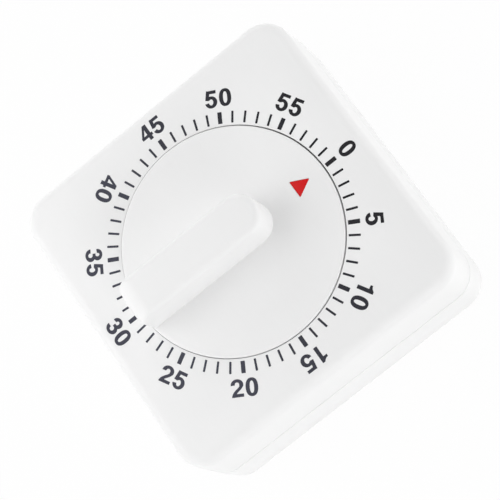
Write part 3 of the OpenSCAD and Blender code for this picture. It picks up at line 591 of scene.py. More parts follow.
class Graph:
    """A shader under construction."""

    # The colour sockets of a Mix node, whose names it shares with its sockets for numbers.
    MIX_A = 6
    MIX_B = 7
    MIX_OUT = 2

    def __init__(self, tree: bpy.types.NodeTree) -> None:
        """Empty the node tree of a material or a world and start over in it."""
        tree.nodes.clear()
        self.tree = tree

    def node(self, kind: str, settings: "dict | None" = None,
             inputs: "dict | None" = None) -> Built:
        """Add one node: its settings first, then the values or links of its inputs.

        Args:
            kind: Type of the node.
            settings: Its settings.
            inputs: Its inputs by name or number.

        Returns:
            The node.
        """
        made = self.tree.nodes.new(kind)
        for key, value in (settings or {}).items():
            setattr(made, key, value)
        for key, value in (inputs or {}).items():
            socket = made.inputs[key]
            if isinstance(value, Sock):
                self.tree.links.new(value.socket, socket)
            else:
                socket.default_value = (*value, 1) if socket.type == "RGBA" else value
        return Built(self, made)

    def place(self, centre: Point = ORIGIN, turn: float = 0, scale: Point = (1, 1, 1)) -> Sock:
        """Give Object coordinates, centred, turned about Z and scaled.

        Args:
            centre: The pattern's centre in metres.
            turn: The pattern's turn in degrees.
            scale: The pattern's scale along each axis.

        Returns:
            The coordinates.
        """
        here = self.node("ShaderNodeTexCoord")["Object"]
        centred = self.vector("SUBTRACT", {0: here, 1: centre})[0]
        return self.node("ShaderNodeMapping", {"vector_type": "POINT"}, {
            "Vector": centred, "Rotation": (0, 0, math.radians(turn)), "Scale": scale})[0]

    def vector(self, operation: str, inputs: dict) -> Built:
        """Add one Vector Math node."""
        return self.node("ShaderNodeVectorMath", {"operation": operation}, inputs)

    def noise(self, where: Sock, kind: Speckle) -> Sock:
        """Give a cloudy value of about 0.5 at a place."""
        return self.node("ShaderNodeTexNoise", {"noise_dimensions": "3D"}, {
            "Vector": where, "Scale": kind.scale, "Detail": kind.detail,
            "Roughness": kind.rough})["Fac"]

    def blend(self, share: "Sock | float", first: "Sock | Rgb", second: "Sock | Rgb") -> Sock:
        """Mix two colours, with a share of the second."""
        return self.node("ShaderNodeMix", {"data_type": "RGBA", "clamp_factor": True}, {
            0: share, self.MIX_A: first, self.MIX_B: second})[self.MIX_OUT]

    def bump(self, height: Sock, depth: float, strength: float) -> Sock:
        """Give the normal of a surface raised by a height of 0 to 1 times a depth in metres."""
        return self.node("ShaderNodeBump", {}, {
            "Height": height, "Distance": depth, "Strength": strength})["Normal"]

    def seen(self) -> Sock:
        """Give 1 for what the eye sees, straight, mirrored or through glass, and 0 for light."""
        path = self.node("ShaderNodeLightPath")
        return path["Is Camera Ray"] + path["Is Glossy Ray"] + path["Is Transmission Ray"]

    def surface(self, **inputs: "Sock | float | Rgb") -> None:
        """Wire one Principled shader to the output.

        Args:
            inputs: Its inputs, with an underscore for each space in a name.
        """
        shader = self.node("ShaderNodeBsdfPrincipled", {}, {
            key.replace("_", " "): value for key, value in inputs.items()})
        self.node("ShaderNodeOutputMaterial", {}, {"Surface": shader["BSDF"]})


def material(name: str) -> tuple[bpy.types.Material, Graph]:
    """Start a material with an empty shader.

    Args:
        name: Name of the material.

    Returns:
        The material and its shader.
    """
    made = bpy.data.materials.new(name)
    made.use_nodes = True
    return made, Graph(made.node_tree)


@dataclass(frozen=True)
class MouldedPlastic:
    """Satin white plastic from a spark-eroded mould."""

    name: str
    pale: Rgb
    shade: Rgb
    rough: float = 0.36
    drift: Speckle = Speckle(55, 3, 0.45)
    grain: Speckle = Speckle(5200, 2, 0.6)
    flow: Speckle = Speckle(190, 3, 0.55)
    flow_turn: float = 28
    flow_scale: Point = (1, 6, 2)
    flow_share: float = 0.25
    flow_relief: float = 0.2
    handled: Speckle = Speckle(310, 4, 0.6)
    handled_gloss: float = 0.16
    grain_gloss: float = 0.06
    depth: float = 0.000006
    relief: float = 0.5
    ior: float = 1.5

    def make(self) -> bpy.types.Material:
        """Build the material: a slow drift of tone, a fine grain and a few flow lines.

        Returns:
            The material.
        """
        made, g = material(self.name)
        here = g.place()
        drift = g.noise(here, self.drift)
        grain = g.noise(here, self.grain)
        flow = g.noise(g.place(turn=self.flow_turn, scale=self.flow_scale), self.flow)
        handled = g.noise(here, self.handled)
        tone = drift * (1 - self.flow_share) + flow * self.flow_share
        colour = g.blend(tone, self.shade, self.pale)
        rough = self.rough + handled.swing(self.handled_gloss) + grain.swing(self.grain_gloss)
        height = grain * (1 - self.flow_relief) + flow * self.flow_relief
        g.surface(Base_Color=colour, Roughness=rough,
                  Normal=g.bump(height, self.depth, self.relief), IOR=self.ior)
        return made


@dataclass(frozen=True)
class PrintedInk:
    """Pad-printed ink, a thin coat that covers a little unevenly, with a painted sheen that makes
    it lighter along -Y, the side the key lamp lights.
    """

    name: str
    full: Rgb
    # The lighter colour stands for thin cover and also for the painted sheen along -Y.
    thin: Rgb
    # Where the painted sheen starts along Y in metres, and the run towards -Y over which it grows
    # to full.
    fade_from: float
    fade_over: float
    rough: float = 0.5
    specular: float = 0.2
    cover: Speckle = Speckle(900, 4, 0.6)
    cover_width: float = 0.5
    pinholes: Speckle = Speckle(5200, 2, 0.5)
    pinholes_width: float = 0.2
    gloss: float = 0.2
    depth: float = 0.000004
    relief: float = 0.5

    def make(self) -> bpy.types.Material:
        """Build the material: mottled cover, pinholes and a painted sheen that lightens the ink
        along -Y.

        Returns:
            The material.
        """
        made, g = material(self.name)
        here = g.place()
        cover = g.noise(here, self.cover)
        pinholes = g.noise(here, self.pinholes)
        along = g.node("ShaderNodeSeparateXYZ", {}, {0: here})["Y"]
        # Painted sheen: the ink is painted lighter towards -Y, where the key lamp's light falls.
        painted_sheen = (self.fade_from - along) / self.fade_over
        share = painted_sheen + cover.swing(self.cover_width) + pinholes.swing(self.pinholes_width)
        g.surface(
            Base_Color=g.blend(share, self.full, self.thin),
            Roughness=self.rough + cover.swing(self.gloss),
            Normal=g.bump(pinholes, self.depth, self.relief),
            Specular_IOR_Level=self.specular)
        return made


class Grain(Enum):
    """How a metal surface was worked."""

    ROLLED = "rolled"
    TURNED = "turned"
    DRAWN = "drawn"
    TUMBLED = "tumbled"


@dataclass(frozen=True)
class Metal:
    """A metal surface with the marks of how it was worked."""

    name: str
    light: Rgb
    dark: Rgb
    rough: float
    grain: Grain
    pitch: float = 0.00012
    depth: float = 0.000004
    tarnish: float = 0.35
    cloud: Speckle = Speckle(240, 4, 0.55)
    cloud_share: float = 0.55
    cloud_gloss: float = 0.14
    waver: float = 3
    marks_gloss: float = 0.08
    fine: Speckle = Speckle(2600, 3, 0.6)
    fine_stain: float = 0.1
    fine_relief: float = 0.2
    darker: float = 0.05
    relief: float = 0.7

    def _marks(self, g: Graph, centre: Point, here: Sock, cloud: Sock) -> Sock:
        """Give the marks that working left.

        Args:
            g: The shader.
            centre: What turned marks circle, in metres.
            here: The coordinates round that centre.
            cloud: What turned marks waver with.

        Returns:
            A value of 0 to 1.
        """
        if self.grain is Grain.TURNED:
            flat = g.vector("MULTIPLY", {0: here, 1: (1, 1, 0)})[0]
            away = g.vector("LENGTH", {0: flat})["Value"]
            return (away * (math.tau / self.pitch) + cloud * self.waver).sine() * 0.5 + 0.5
        if self.grain is Grain.TUMBLED:
            return g.noise(here, Speckle(1 / self.pitch, 4, 0.65))
        turn, scale = (8, (0.03, 1, 1)) if self.grain is Grain.ROLLED else (0, (1, 1, 0.04))
        return g.noise(g.place(centre, turn, scale), Speckle(1 / self.pitch, 2, 0.6))

    def make(self, centre: Point = ORIGIN) -> bpy.types.Material:
        """Build the material around a centre, which turned marks circle.

        Args:
            centre: The piece's own axis, in metres.

        Returns:
            The material.
        """
        made, g = material(self.name)
        here = g.place(centre)
        cloud = g.noise(here, self.cloud)
        fine = g.noise(here, self.fine)
        marks = self._marks(g, centre, here, cloud)
        share = marks * (1 - self.cloud_share) + cloud * self.cloud_share
        stain = cloud.swing(self.tarnish) + fine * self.fine_stain
        colour = g.blend(share + stain - self.darker, self.dark, self.light)
        rough = self.rough + cloud.swing(self.cloud_gloss) + marks.swing(self.marks_gloss)
        height = marks * (1 - self.fine_relief) + fine * self.fine_relief
        g.surface(Base_Color=colour, Metallic=1.0, Roughness=rough,
                  Normal=g.bump(height, self.depth, self.relief))
        return made


@dataclass
class CasePart:
    """Sizes that the pieces of the case share."""

    half: float = 35.0
    corner: float = 6.4
    wall: float = 2.0
    face: float = 26.9
    boss_at: float = 28.4
    boss_r: float = 3.0
    border: float = 0.5

    def bosses(self) -> list[Spot]:
        """Give the places of the four corner screws."""
        return corners(self.boss_at, self.boss_at)


@dataclass
class FrontMoulding(CasePart):
    """The square front half of the case with its round well for the knob."""

    draft: float = 0.4
    fillet: Round = Round(2.3, 10)
    low: float = 12.3
    seam_edge: Round = Round(0.5, 4)
    face_under: float = 24.9
    well_r: float = 24.4
    well_wall: float = 1.5
    well_floor: float = 23.5
    well_under: float = 22.0
    mouth_r: float = 24.24
    mouth_at: Spot = (0.03, 0.13)
    mouth_edge: Round = Round(0.1, 4)
    hub_hole_r: float = 4.0
    boss_proud: float = 0.1
    pilot_r: float = 1.15
    pilot_top: float = 17.2
    mount_at: Spot = (15.5, 25.0)
    mount_r: float = 2.3
    mount_low: float = 21.0
    mount_pilot_r: float = 0.85
    mount_pilot_top: float = 24.2
    lip_half: float = 34.0
    lip_r: float = 5.4
    lip_top: float = 13.7
    stop_angle: float = 36.0
    stop_r: float = 18.0
    stop_size: Point = (3.0, 1.6, 1.2)
    stop_edge: Round = Round(0.2, 2)
    sunk: float = 0.4

    def _outside(self) -> Shape:
        """Draw the square outside with its draft and its rounded front edge.

        Returns:
            The solid.
        """
        shell = Shape.rounded_block("front_moulding", self.half, self.corner, self.low, self.face)
        share = (self.half - self.draft) / self.half
        shell.level(self.face).resize((share, share, 1), (0, 0, self.face))
        shell.rim(self.face).bevel(*self.fillet)
        shell.level(self.face).inset(self.border)
        return shell.rim(self.low).bevel(*self.seam_edge)

    def _well_tool(self) -> Shape:
        """Draw what the well takes out, less the block that stops the knob.

        Returns:
            The cutter.
        """
        tool = Shape.drum("well_tool", self.mouth_r, self.well_floor, self.face + PAST,
                          self.mouth_at, Sides.MOUTH)
        long, wide, high = self.stop_size
        block = Shape.block(
            "stop_tool", (self.stop_r - long / 2, -wide / 2, self.well_floor - PAST),
            (self.stop_r + long / 2, wide / 2, self.well_floor + high))
        block.rim(self.well_floor + high).bevel(*self.stop_edge)
        return tool.bool(Join.CUT, *block.spread("stop_turned", [(self.stop_angle, ORIGIN)]))

    def make(self) -> bpy.types.Object:
        """Build the moulding.

        Returns:
            The finished object.
        """
        shell = self._outside()
        below = self.low - PAST
        top = self.face_under + self.sunk
        mounts = corners(*self.mount_at)
        shell.bool(Join.CUT, Shape.rounded_block(
            "inner_tool", self.half - self.wall - self.draft, self.corner - self.wall, below,
            self.face_under))
        shell.drums(Join.UNITE, [MIDDLE], self.well_r + self.well_wall, self.well_under,
                    self.face - self.sunk, Sides.WELL)
        shell.drums(Join.UNITE, self.bosses(), self.boss_r, self.low - self.boss_proud, top,
                    Sides.BOSS)
        shell.drums(Join.UNITE, mounts, self.mount_r, self.mount_low, top, Sides.BOSS)
        shell.bool(Join.CUT, self._well_tool())
        shell.drums(Join.CUT, [MIDDLE], self.hub_hole_r, self.well_under - PAST,
                    self.well_floor + PAST)
        shell.bool(Join.CUT, Shape.rounded_block(
            "lip_tool", self.lip_half, self.lip_r, below, self.lip_top))
        shell.drums(Join.CUT, self.bosses(), self.pilot_r, below, self.pilot_top, Sides.HOLE)
        shell.drums(Join.CUT, mounts, self.mount_pilot_r, self.mount_low - PAST,
                    self.mount_pilot_top, Sides.HOLE)
        middle = Vector(self.mouth_at)
        shell.edges(lambda a, b: min(a.z, b.z) > self.face - CLOSE
                    and all(abs((p.xy - middle).length - self.mouth_r) < NEAR for p in (a, b)))
        return shell.bevel(*self.mouth_edge).finish()


@dataclass
class RearMoulding(CasePart):
    """The rear half of the case: a tray with sound slots and screw recesses."""

    fillet: Round = Round(0.8, 6)
    floor: float = 1.8
    top: float = 12.1
    edge: Round = Round(0.25, 3)
    lip_half: float = 33.9
    lip_r: float = 5.3
    lip_top: float = 13.6
    lip_sunk: float = 0.3
    boss_low: float = 0.9
    boss_proud: float = 0.1
    recess_r: float = 2.4
    recess_top: float = 7.0
    hole_r: float = 1.2
    bell_boss_r: float = 3.5
    bell_boss_top: float = 3.0
    bell_hole_r: float = 1.15
    slot_count: int = 12
    slot_width: float = 2.0
    slot_run: Spot = (8.0, 20.0)
    slot_end: Round = Round(0.999, 8)
    slack: float = 0.1

    def _slot_tools(self) -> list[Shape]:
        """Draw one slot's cutter and copy it round the middle.

        Returns:
            The cutters.
        """
        r = self.slot_width / 2
        near, far = self.slot_run
        one = Shape.block("slot_tool", (near, -r, -PAST), (far, r, self.floor + PAST))
        one.upright().bevel(r * self.slot_end.radius, self.slot_end.steps).merge(NEAR)
        return one.spread("slot_tool", ((360 / self.slot_count * i, ORIGIN)
                                        for i in range(self.slot_count)))

    def _rims(self) -> Callable[[Vector, Vector], bool]:
        """Give the test for the edges round the slots and the recesses at the back.

        Returns:
            The test of an edge's two ends.
        """
        spots = [Vector(s) for s in self.bosses()]
        near, far = self.slot_run
        sector = math.tau / self.slot_count

        def on_recess(p: Vector, within: float) -> bool:
            """Tell whether a point lies over the rim of a recess."""
            return any(abs((p.xy - s).length - self.recess_r) < within for s in spots)

        def at_back(p: Vector) -> bool:
            """Tell whether a point lies on a rim at the back."""
            in_slot = near - self.slack < p.xy.length < far + self.slack
            return abs(p.z) < CLOSE and (in_slot or on_recess(p, NEAR))

        def on_rim(a: Vector, b: Vector) -> bool:
            """Tell whether an edge runs along a rim and not across the back."""
            middle = (a + b) / 2
            turn = math.atan2(middle.y, middle.x) % sector
            aside = middle.xy.length * math.sin(min(turn, sector - turn))
            in_slot = aside < self.slot_width / 2 + NEAR
            return at_back(a) and at_back(b) and (in_slot or on_recess(middle, self.slack / 2))

        return on_rim

    def make(self) -> bpy.types.Object:
        """Build the moulding.

        Returns:
            The finished object.
        """
        tray = Shape.rounded_block("rear_moulding", self.half, self.corner, 0, self.top)
        tray.rim(0).bevel(*self.fillet)
        tray.level(0).inset(self.border)
        tray.rim(self.top).bevel(*self.edge)
        tray.bool(Join.UNITE, Shape.rounded_block(
            "lip", self.lip_half, self.lip_r, self.top - self.lip_sunk, self.lip_top))
        tray.bool(Join.CUT, Shape.rounded_block(
            "tray_tool", self.half - self.wall, self.corner - self.wall, self.floor,
            self.lip_top + PAST))
        tray.drums(Join.UNITE, self.bosses(), self.boss_r, self.boss_low,
                   self.top + self.boss_proud, Sides.BOSS)
        tray.drums(Join.UNITE, [MIDDLE], self.bell_boss_r, self.boss_low, self.bell_boss_top)
        for spot in self.bosses():
            tray.drums(Join.CUT, [spot], self.recess_r, -PAST, self.recess_top, Sides.HEAD)
            tray.drums(Join.CUT, [spot], self.hole_r, self.recess_top - PAST, self.top + PAST,
                       Sides.HOLE)
        tray.drums(Join.CUT, [MIDDLE], self.bell_hole_r, self.boss_low, self.bell_boss_top + PAST,
                   Sides.HOLE)
        tray.bool(Join.CUT, *self._slot_tools())
        return tray.edges(self._rims()).bevel(*self.edge).finish()


@dataclass
class KnobMoulding:
    """The round disc with its half-bar grip, hollow from below."""

    disc_r: float = 24.05
    top: float = 27.2
    under: float = 25.5
    skirt_low: float = 23.9
    skirt_t: float = 1.2
    edge: Round = Round(0.35, 5)
    border: float = 0.25
    grip_w: float = 9.4
    grip_reach: float = 10.0
    grip_top: float = 37.0
    grip_root: float = 1.0
    grip_fillet: float = 1.3
    grip_end_r: float = 4.2
    grip_corner_r: float = 1.0
    grip_corner_min: float = 0.3
    grip_steps: int = 16
    grip_nose_steps: int = 20
    grip_rim_steps: int = 6
    grip_wall: float = 1.8
    grip_border: float = 0.12
    hub_r: float = 3.4
    hub_low: float = 22.4
    hub_sunk: float = 0.2
    socket_r: float = 2.05
    socket_flat: float = 1.35
    socket_top: float = 33.0
    flat_reach: float = 5.0
    pin_at: Spot = polar(18.0, 30.0)
    pin_r: float = 1.0
    pin_sunk: float = 0.5
    mark_tip: float = 20.5
    mark_base: float = 16.75
    mark_w: float = 4.0
    mark_depth: float = 0.3
    mark_gap: float = 0.05
    mark_corner: Round = Round(0.3, 4)
    mark_edge: Round = Round(0.04, 2)

    def _disc(self) -> Shape:
        """Draw the disc with its rounded rim, its skirt and its hollow underside.

        Returns:
            The solid.
        """
        disc = Shape.drum("knob_moulding", self.disc_r, self.skirt_low, self.top,
                          sides=Sides.DISC)
        disc.level(self.skirt_low).inset(self.skirt_t).extrude((0, 0, self.under - self.skirt_low))
        disc.rim(self.top).bevel(*self.edge)
        return disc.level(self.top).inset(self.border)

    def _grip_outline(self, inset: float, end_in: float) -> list[Spot]:
        """Give the grip's outline in plan, from the +Y axis counter-clockwise.

        Args:
            inset: How far its sides are drawn in.
            end_in: How far its end at the disc's rim is drawn in.

        Returns:
            The outline.
        """
        half = self.grip_w / 2 - inset
        corner = max(self.grip_corner_r - inset, self.grip_corner_min)
        rim = self.disc_r - inset
        centre_y = end_in - inset
        corner_x = half - corner
        turn = math.degrees(math.acos(corner_x / (rim - corner)))
        corner_y = centre_y - math.sqrt((rim - corner) ** 2 - corner_x ** 2)

        def arc(x: float, y: float, r: float, start: float, end: float, steps: int) -> list[Spot]:
            """Give the points of an arc, with its first but without its last."""
            return [(x + dx, y + dy) for dx, dy in
                    (polar(r, start + (end - start) * i / steps) for i in range(steps))]

        round_y = self.grip_reach - self.grip_w / 2
        left = arc(0, round_y, half, 90, 180, self.grip_nose_steps)[1:] + [(-half, round_y)]
        left += arc(-corner_x, corner_y, corner, 180, 180 + turn, self.grip_rim_steps)
        left += arc(0, centre_y, rim, 180 + turn, 270, self.grip_rim_steps)
        return ([(0, round_y + half)] + left + [(0, centre_y - rim)]
                + [(-x, y) for x, y in reversed(left)])

    def _grip(self, name: str, wall: float, low: float) -> Shape:
        """Draw the half-bar with its rounded edges, drawn in by a wall on every side.

        Args:
            name: Name of the solid.
            wall: How far it is drawn in.
            low: Its lower end.

        Returns:
            The solid.
        """
        def drawn_in(r: float, depth: float) -> float:
            """Give how far a rounded edge has drawn in at a depth below its top."""
            return r - math.sqrt(r * r - (r - depth) ** 2) if depth < r else 0.0

        edge_r = max(self.grip_fillet - wall, 0.0)
        end_r = self.grip_end_r - wall
        top = self.grip_top - wall
        rings = [(self._grip_outline(wall, wall), low)]
        for i in range(self.grip_steps + 1):
            depth = end_r * (1 - math.sin(math.pi / 2 * i / self.grip_steps))
            rings.append((
                self._grip_outline(wall + drawn_in(edge_r, depth), wall + drawn_in(end_r, depth)),
                top - depth))
        return Shape.loft(name, rings).level(top).inset(self.grip_border)

    def _mark(self, name: str, gap: float, top: float) -> Shape:
        """Draw the pointer's slab, grown by a gap.

        Args:
            name: Name of the solid.
            gap: How far it is grown.
            top: Its upper end.

        Returns:
            The solid.
        """
        long = self.mark_tip - self.mark_base
        half = self.mark_w / 2
        side = math.hypot(half, long)
        tip = self.mark_tip + gap * side / half
        foot = half + gap * (side + half) / long
        low = self.mark_base - gap
        mark = Shape.slab(name, [(foot, low), (0, tip), (-foot, low)],
                          self.top - self.mark_depth, top)
        return mark.upright().bevel(*self.mark_corner)

    def make(self) -> bpy.types.Object:
        """Build the moulding.

        Returns:
            The finished object.
        """
        knob = self._disc()
        knob.bool(Join.UNITE, self._grip("grip", 0.0, self.top - self.grip_root))
        hollow = self._grip("hollow", self.grip_wall, self.under - PAST)
        hollow.drums(Join.CUT, [MIDDLE], self.hub_r, self.hub_low, self.grip_top)
        knob.bool(Join.CUT, hollow)
        knob.drums(Join.UNITE, [MIDDLE], self.hub_r, self.hub_low, self.top - self.hub_sunk)
        knob.drums(Join.UNITE, [self.pin_at], self.pin_r, self.skirt_low, self.top - self.pin_sunk,
                   Sides.HOLE)
        socket = Shape.drum("socket_tool", self.socket_r, self.hub_low - PAST, self.socket_top,
                            sides=Sides.BOSS)
        socket.bool(Join.CUT, Shape.block(
            "flat_tool", (-self.flat_reach, self.socket_flat, self.hub_low - 2 * PAST),
            (self.flat_reach, self.flat_reach, self.grip_top)))
        knob.bool(Join.CUT, socket)
        knob.bool(Join.CUT, self._mark("mark_tool", self.mark_gap, self.top + PAST))
        return knob.finish()

    def make_mark(self) -> bpy.types.Object:
        """Build the red pointer that fills its recess in the disc."""
        mark = self._mark("pointer_inlay", 0, self.top)
        return mark.rim(self.top).bevel(*self.mark_edge).finish()


@dataclass(frozen=True)
class Arc:
    """A curved stroke of a numeral: part of an ellipse's middle line, in cap heights."""

    centre: Spot
    semi: Spot
    start: float
    end: float
    power: float = 2.0


@dataclass(frozen=True)
class Bar:
    """A straight stroke of a numeral between two points, in cap heights."""

    a: Spot
    b: Spot
    width: float


@dataclass(frozen=True)
class Patch:
    """A filled outline that is part of a numeral, counter-clockwise, in cap heights."""

    outline: tuple[Spot, ...]


@dataclass
class DialPrint(CasePart):
    """The printed scale: sixty strokes and the numbers from 0 to 55."""

    minutes: int = 60
    five: int = 5
    sunk: float = 0.04
    proud: float = 0.025
    stroke_at: float = 26.0
    stroke_l: float = 2.5
    stroke_corner: Round = Round(0.09, 3)
    fine_w: float = 0.47
    bold_w: float = 0.91
    cap: float = 3.62
    number_at: float = 30.3
    advance: float = 0.856
    glyph_w: float = 0.71
    stem: float = 0.236
    beam: float = 0.177

    INWARD: ClassVar[tuple[int, ...]] = (20, 25, 30, 35, 40)
    OFF_PLACE: ClassVar[dict[int, Spot]] = {
        10: (0.0, -0.08), 15: (0.16, 0.0), 20: (-0.10, 0.14), 25: (0.05, 0.13),
        30: (0.15, 0.10), 35: (0.0, 0.09), 40: (-0.05, 0.05), 45: (-0.11, 0.0)}
    GLYPHS: ClassVar[dict[str, tuple["Arc | Bar | Patch", ...]]] = {
        "0": (Arc((0.355, 0.490), (0.245, 0.434), 0, 360, 2.3),),
        "1": (Patch(((0.536, 0), (0.536, 1.0), (0.388, 1.0), (0.333, 0.946), (0.267, 0.883),
                     (0.189, 0.847), (0.079, 0.833), (0.079, 0.689), (0.309, 0.689),
                     (0.309, 0))),),
        "2": (Arc((0.355, 0.698), (0.250, 0.225), -25, 185),
              Patch(((0.007, 0), (0.714, 0), (0.714, 0.178), (0.300, 0.186), (0.341, 0.242),
                     (0.410, 0.302), (0.535, 0.399), (0.631, 0.496), (0.686, 0.593),
                     (0.604, 0.648), (0.493, 0.634), (0.465, 0.579), (0.410, 0.523),
                     (0.286, 0.427), (0.175, 0.330), (0.079, 0.220), (0.024, 0.095)))),
        "3": (Arc((0.350, 0.717), (0.217, 0.210), -90, 190),
              Bar((0.264, 0.507), (0.355, 0.507), 0.177),
              Arc((0.355, 0.282), (0.251, 0.225), -185, 90)),
        "4": (Bar((0.535, -0.007), (0.535, 1.007), 0.225),
              Bar((0.007, 0.291), (0.750, 0.291), 0.177),
              Patch(((0.012, 0.336), (0.183, 0.352), (0.438, 0.764), (0.438, 1.007),
                     (0.418, 1.007)))),
        "5": (Bar((0.148, 0.910), (0.670, 0.910), 0.188),
              Bar((0.202, 1.004), (0.110, 0.442), 0.205),
              Arc((0.350, 0.320), (0.249, 0.268), -170, 140)),
    }

    def _arc(self, name: str, arc: Arc) -> Shape:
        """Draw a curved stroke from a circle: keep its part, draw a second ring, fill.

        Args:
            name: Name of the solid.
            arc: The stroke.

        Returns:
            The solid.
        """
        made = Shape.add(name, bpy.ops.mesh.primitive_circle_add, vertices=Sides.STROKE, radius=1,
                         fill_type="NOTHING")
        sweep = arc.end - arc.start
        made.verts(lambda p: sweep < 360 and (
            math.degrees(math.atan2(p.y, p.x)) - arc.start + DEGREE_EPS) % 360
            > sweep + 2 * DEGREE_EPS)
        bpy.ops.mesh.delete(type="VERT")
        made.verts(lambda p: True)
        bm = bmesh.from_edit_mesh(made.obj.data)
        for v in bm.verts:
            v.co.x = math.copysign(abs(v.co.x) ** (2 / arc.power), v.co.x)
            v.co.y = math.copysign(abs(v.co.y) ** (2 / arc.power), v.co.y)
        bmesh.update_edit_mesh(made.obj.data)
        out = (arc.semi[0] + self.stem / 2, arc.semi[1] + self.beam / 2)
        into = (arc.semi[0] - self.stem / 2, arc.semi[1] - self.beam / 2)
        made.resize((*out, 1))
        bpy.ops.mesh.extrude_edges_move(TRANSFORM_OT_translate={"value": ORIGIN})
        made.resize((into[0] / out[0], into[1] / out[1], 1))
        bpy.ops.mesh.select_all(action="SELECT")
        bpy.ops.transform.translate(value=(*arc.centre, -self.sunk))
        return made.faces(lambda c, n: True).extrude((0, 0, self.sunk + self.proud)).even()

    def _stroke(self, name: str, stroke: "Arc | Bar | Patch") -> Shape:
        """Draw one stroke of a numeral.

        Args:
            name: Name of the solid.
            stroke: The stroke.

        Returns:
            The solid.
        """
        if isinstance(stroke, Arc):
            return self._arc(name, stroke)
        if isinstance(stroke, Patch):
            return Shape.slab(name, stroke.outline, -self.sunk, self.proud)
        a, b = Vector(stroke.a), Vector(stroke.b)
        side = (b - a).orthogonal().normalized() * stroke.width / 2
        spots = [tuple(p) for p in (a - side, b - side, b + side, a + side)]
        return Shape.slab(name, spots, -self.sunk, self.proud)

    def _glyph(self, digit: str) -> Shape:
        """Draw one numeral of cap height 1 with its foot at the origin."""
        first, *others = (self._stroke("glyph", stroke) for stroke in self.GLYPHS[digit])
        return first.bool(Join.UNITE, *others)

    def make_strokes(self) -> list[bpy.types.Object]:
        """Draw one fine and one bold stroke and copy them round the dial.

        Returns:
            The fine strokes and the bold strokes, one object each.
        """
        done = []
        for name, width, bold in (("minute_strokes", self.fine_w, False),
                                  ("five_minute_strokes", self.bold_w, True)):
            one = Shape.block(
                "stroke", (self.stroke_at - self.stroke_l / 2, -width / 2, self.face - self.sunk),
                (self.stroke_at + self.stroke_l / 2, width / 2, self.face + self.proud))
            one.upright().bevel(*self.stroke_corner)
            places = [(self._line(m), ORIGIN) for m in range(self.minutes)
                      if (m % self.five == 0) == bold]
            done.append(Shape.joined(name, one.spread("stroke", places)).finish())
        return done

    def _line(self, minute: int) -> float:
        """Give the angle in plan of a minute's line, in degrees."""
        return 90 - 360 / self.minutes * minute

    def _number(self, minute: int, glyphs: dict[str, Shape]) -> bpy.types.Object:
        """Set one number beside the dial.

        Args:
            minute: The number.
            glyphs: The numerals that it is copied from.

        Returns:
            The finished object.
        """
        text = str(minute)
        width = (len(text) - 1) * self.advance + self.glyph_w
        line = self._line(minute)
        turn = line + 90 if minute in self.INWARD else line - 90
        right = Vector(polar(1, turn))
        up = Vector(polar(1, turn + 90))
        aside, above = self.OFF_PLACE.get(minute, MIDDLE)
        middle = Vector(polar(self.number_at, line)) + right * aside + up * above
        parts = []
        for i, digit in enumerate(text):
            foot = middle + right * (i * self.advance - width / 2) * self.cap - up * self.cap / 2
            parts.append(glyphs[digit].copy("digit", turn, (*foot, self.face), self.cap))
        return Shape.joined(f"number_{minute:02d}", parts).finish()

    def make_numbers(self) -> list[bpy.types.Object]:
        """Draw each numeral once and set the twelve numbers round the dial.

        Returns:
            The numbers, one object each.
        """
        glyphs = {digit: self._glyph(digit) for digit in self.GLYPHS}
        done = [self._number(m, glyphs) for m in range(0, self.minutes, self.five)]
        for glyph in glyphs.values():
            bpy.data.objects.remove(glyph.obj)
        return done


@dataclass
class CornerScrews(CasePart):
    """The four cross-headed screws that hold the two halves together."""

    head_r: float = 2.1
    head_low: float = 5.4
    head_top: float = 7.0
    head_edge: Round = Round(0.45, 5)
    shank_r: float = 1.1
    tip: float = 16.5
    tip_edge: Round = Round(0.4, 2)
    cross_l: float = 2.5
    cross_w: float = 0.55
    cross_depth: float = 0.9
    cross_taper: float = 0.55
    turn: float = 20
    turn_step: float = 37

    def _cross(self) -> list[Shape]:
        """Draw the two tapered blades of the cross recess.

        Returns:
            The cutters.
        """
        made = []
        top = self.head_low + self.cross_depth
        for x, y in ((self.cross_l, self.cross_w), (self.cross_w, self.cross_l)):
            blade = Shape.block("blade", (-x / 2, -y / 2, self.head_low - PAST),
                                (x / 2, y / 2, top))
            blade.level(top).resize((self.cross_taper, self.cross_taper, 1),
                                    (0, 0, self.head_low))
            made.append(blade)
        return made

    def make(self) -> list[bpy.types.Object]:
        """Model one screw and copy it to each corner, each turned as it came to rest.

        Returns:
            The four screws.
        """
        screw = Shape.drum("screw", self.head_r, self.head_low, self.head_top, sides=Sides.HEAD)
        screw.rim(self.head_low).bevel(*self.head_edge)
        screw.level(self.head_top).inset(self.head_r - self.shank_r)
        screw.extrude((0, 0, self.tip - self.head_top))
        screw.rim(self.tip).bevel(*self.tip_edge)
        screw.bool(Join.CUT, *self._cross())
        places = [(self.turn + self.turn_step * i, (*at, 0))
                  for i, at in enumerate(self.bosses())]
        return [made.finish() for made in screw.spread("corner_screw", places)]


@dataclass
class BellCup:
    """The flat bell, a drawn steel cup screwed to the back."""

    outer: float = 25.0
    low: float = 3.0
    rim: float = 8.6
    metal: float = 0.7
    foot: Round = Round(2.2, 8)
    hole: float = 1.4
    edge: Round = Round(0.15, 2)

    def make(self) -> bpy.types.Object:
        """Build the cup: a drum with a rounded foot, hollowed from its rim.

        Returns:
            The finished object.
        """
        floor = self.low + self.metal
        cup = Shape.drum("bell_cup", self.outer, self.low, self.rim, sides=Sides.CUP)
        cup.rim(self.low).bevel(*self.foot)
        cup.level(self.rim).inset(self.metal).extrude((0, 0, floor - self.rim))
        cup.rim(floor).bevel(self.foot.radius - self.metal, self.foot.steps)
        cup.drums(Join.CUT, [MIDDLE], self.hole, self.low - PAST, floor + PAST, Sides.BOSS)
        return cup.rim(self.rim).bevel(*self.edge).finish()


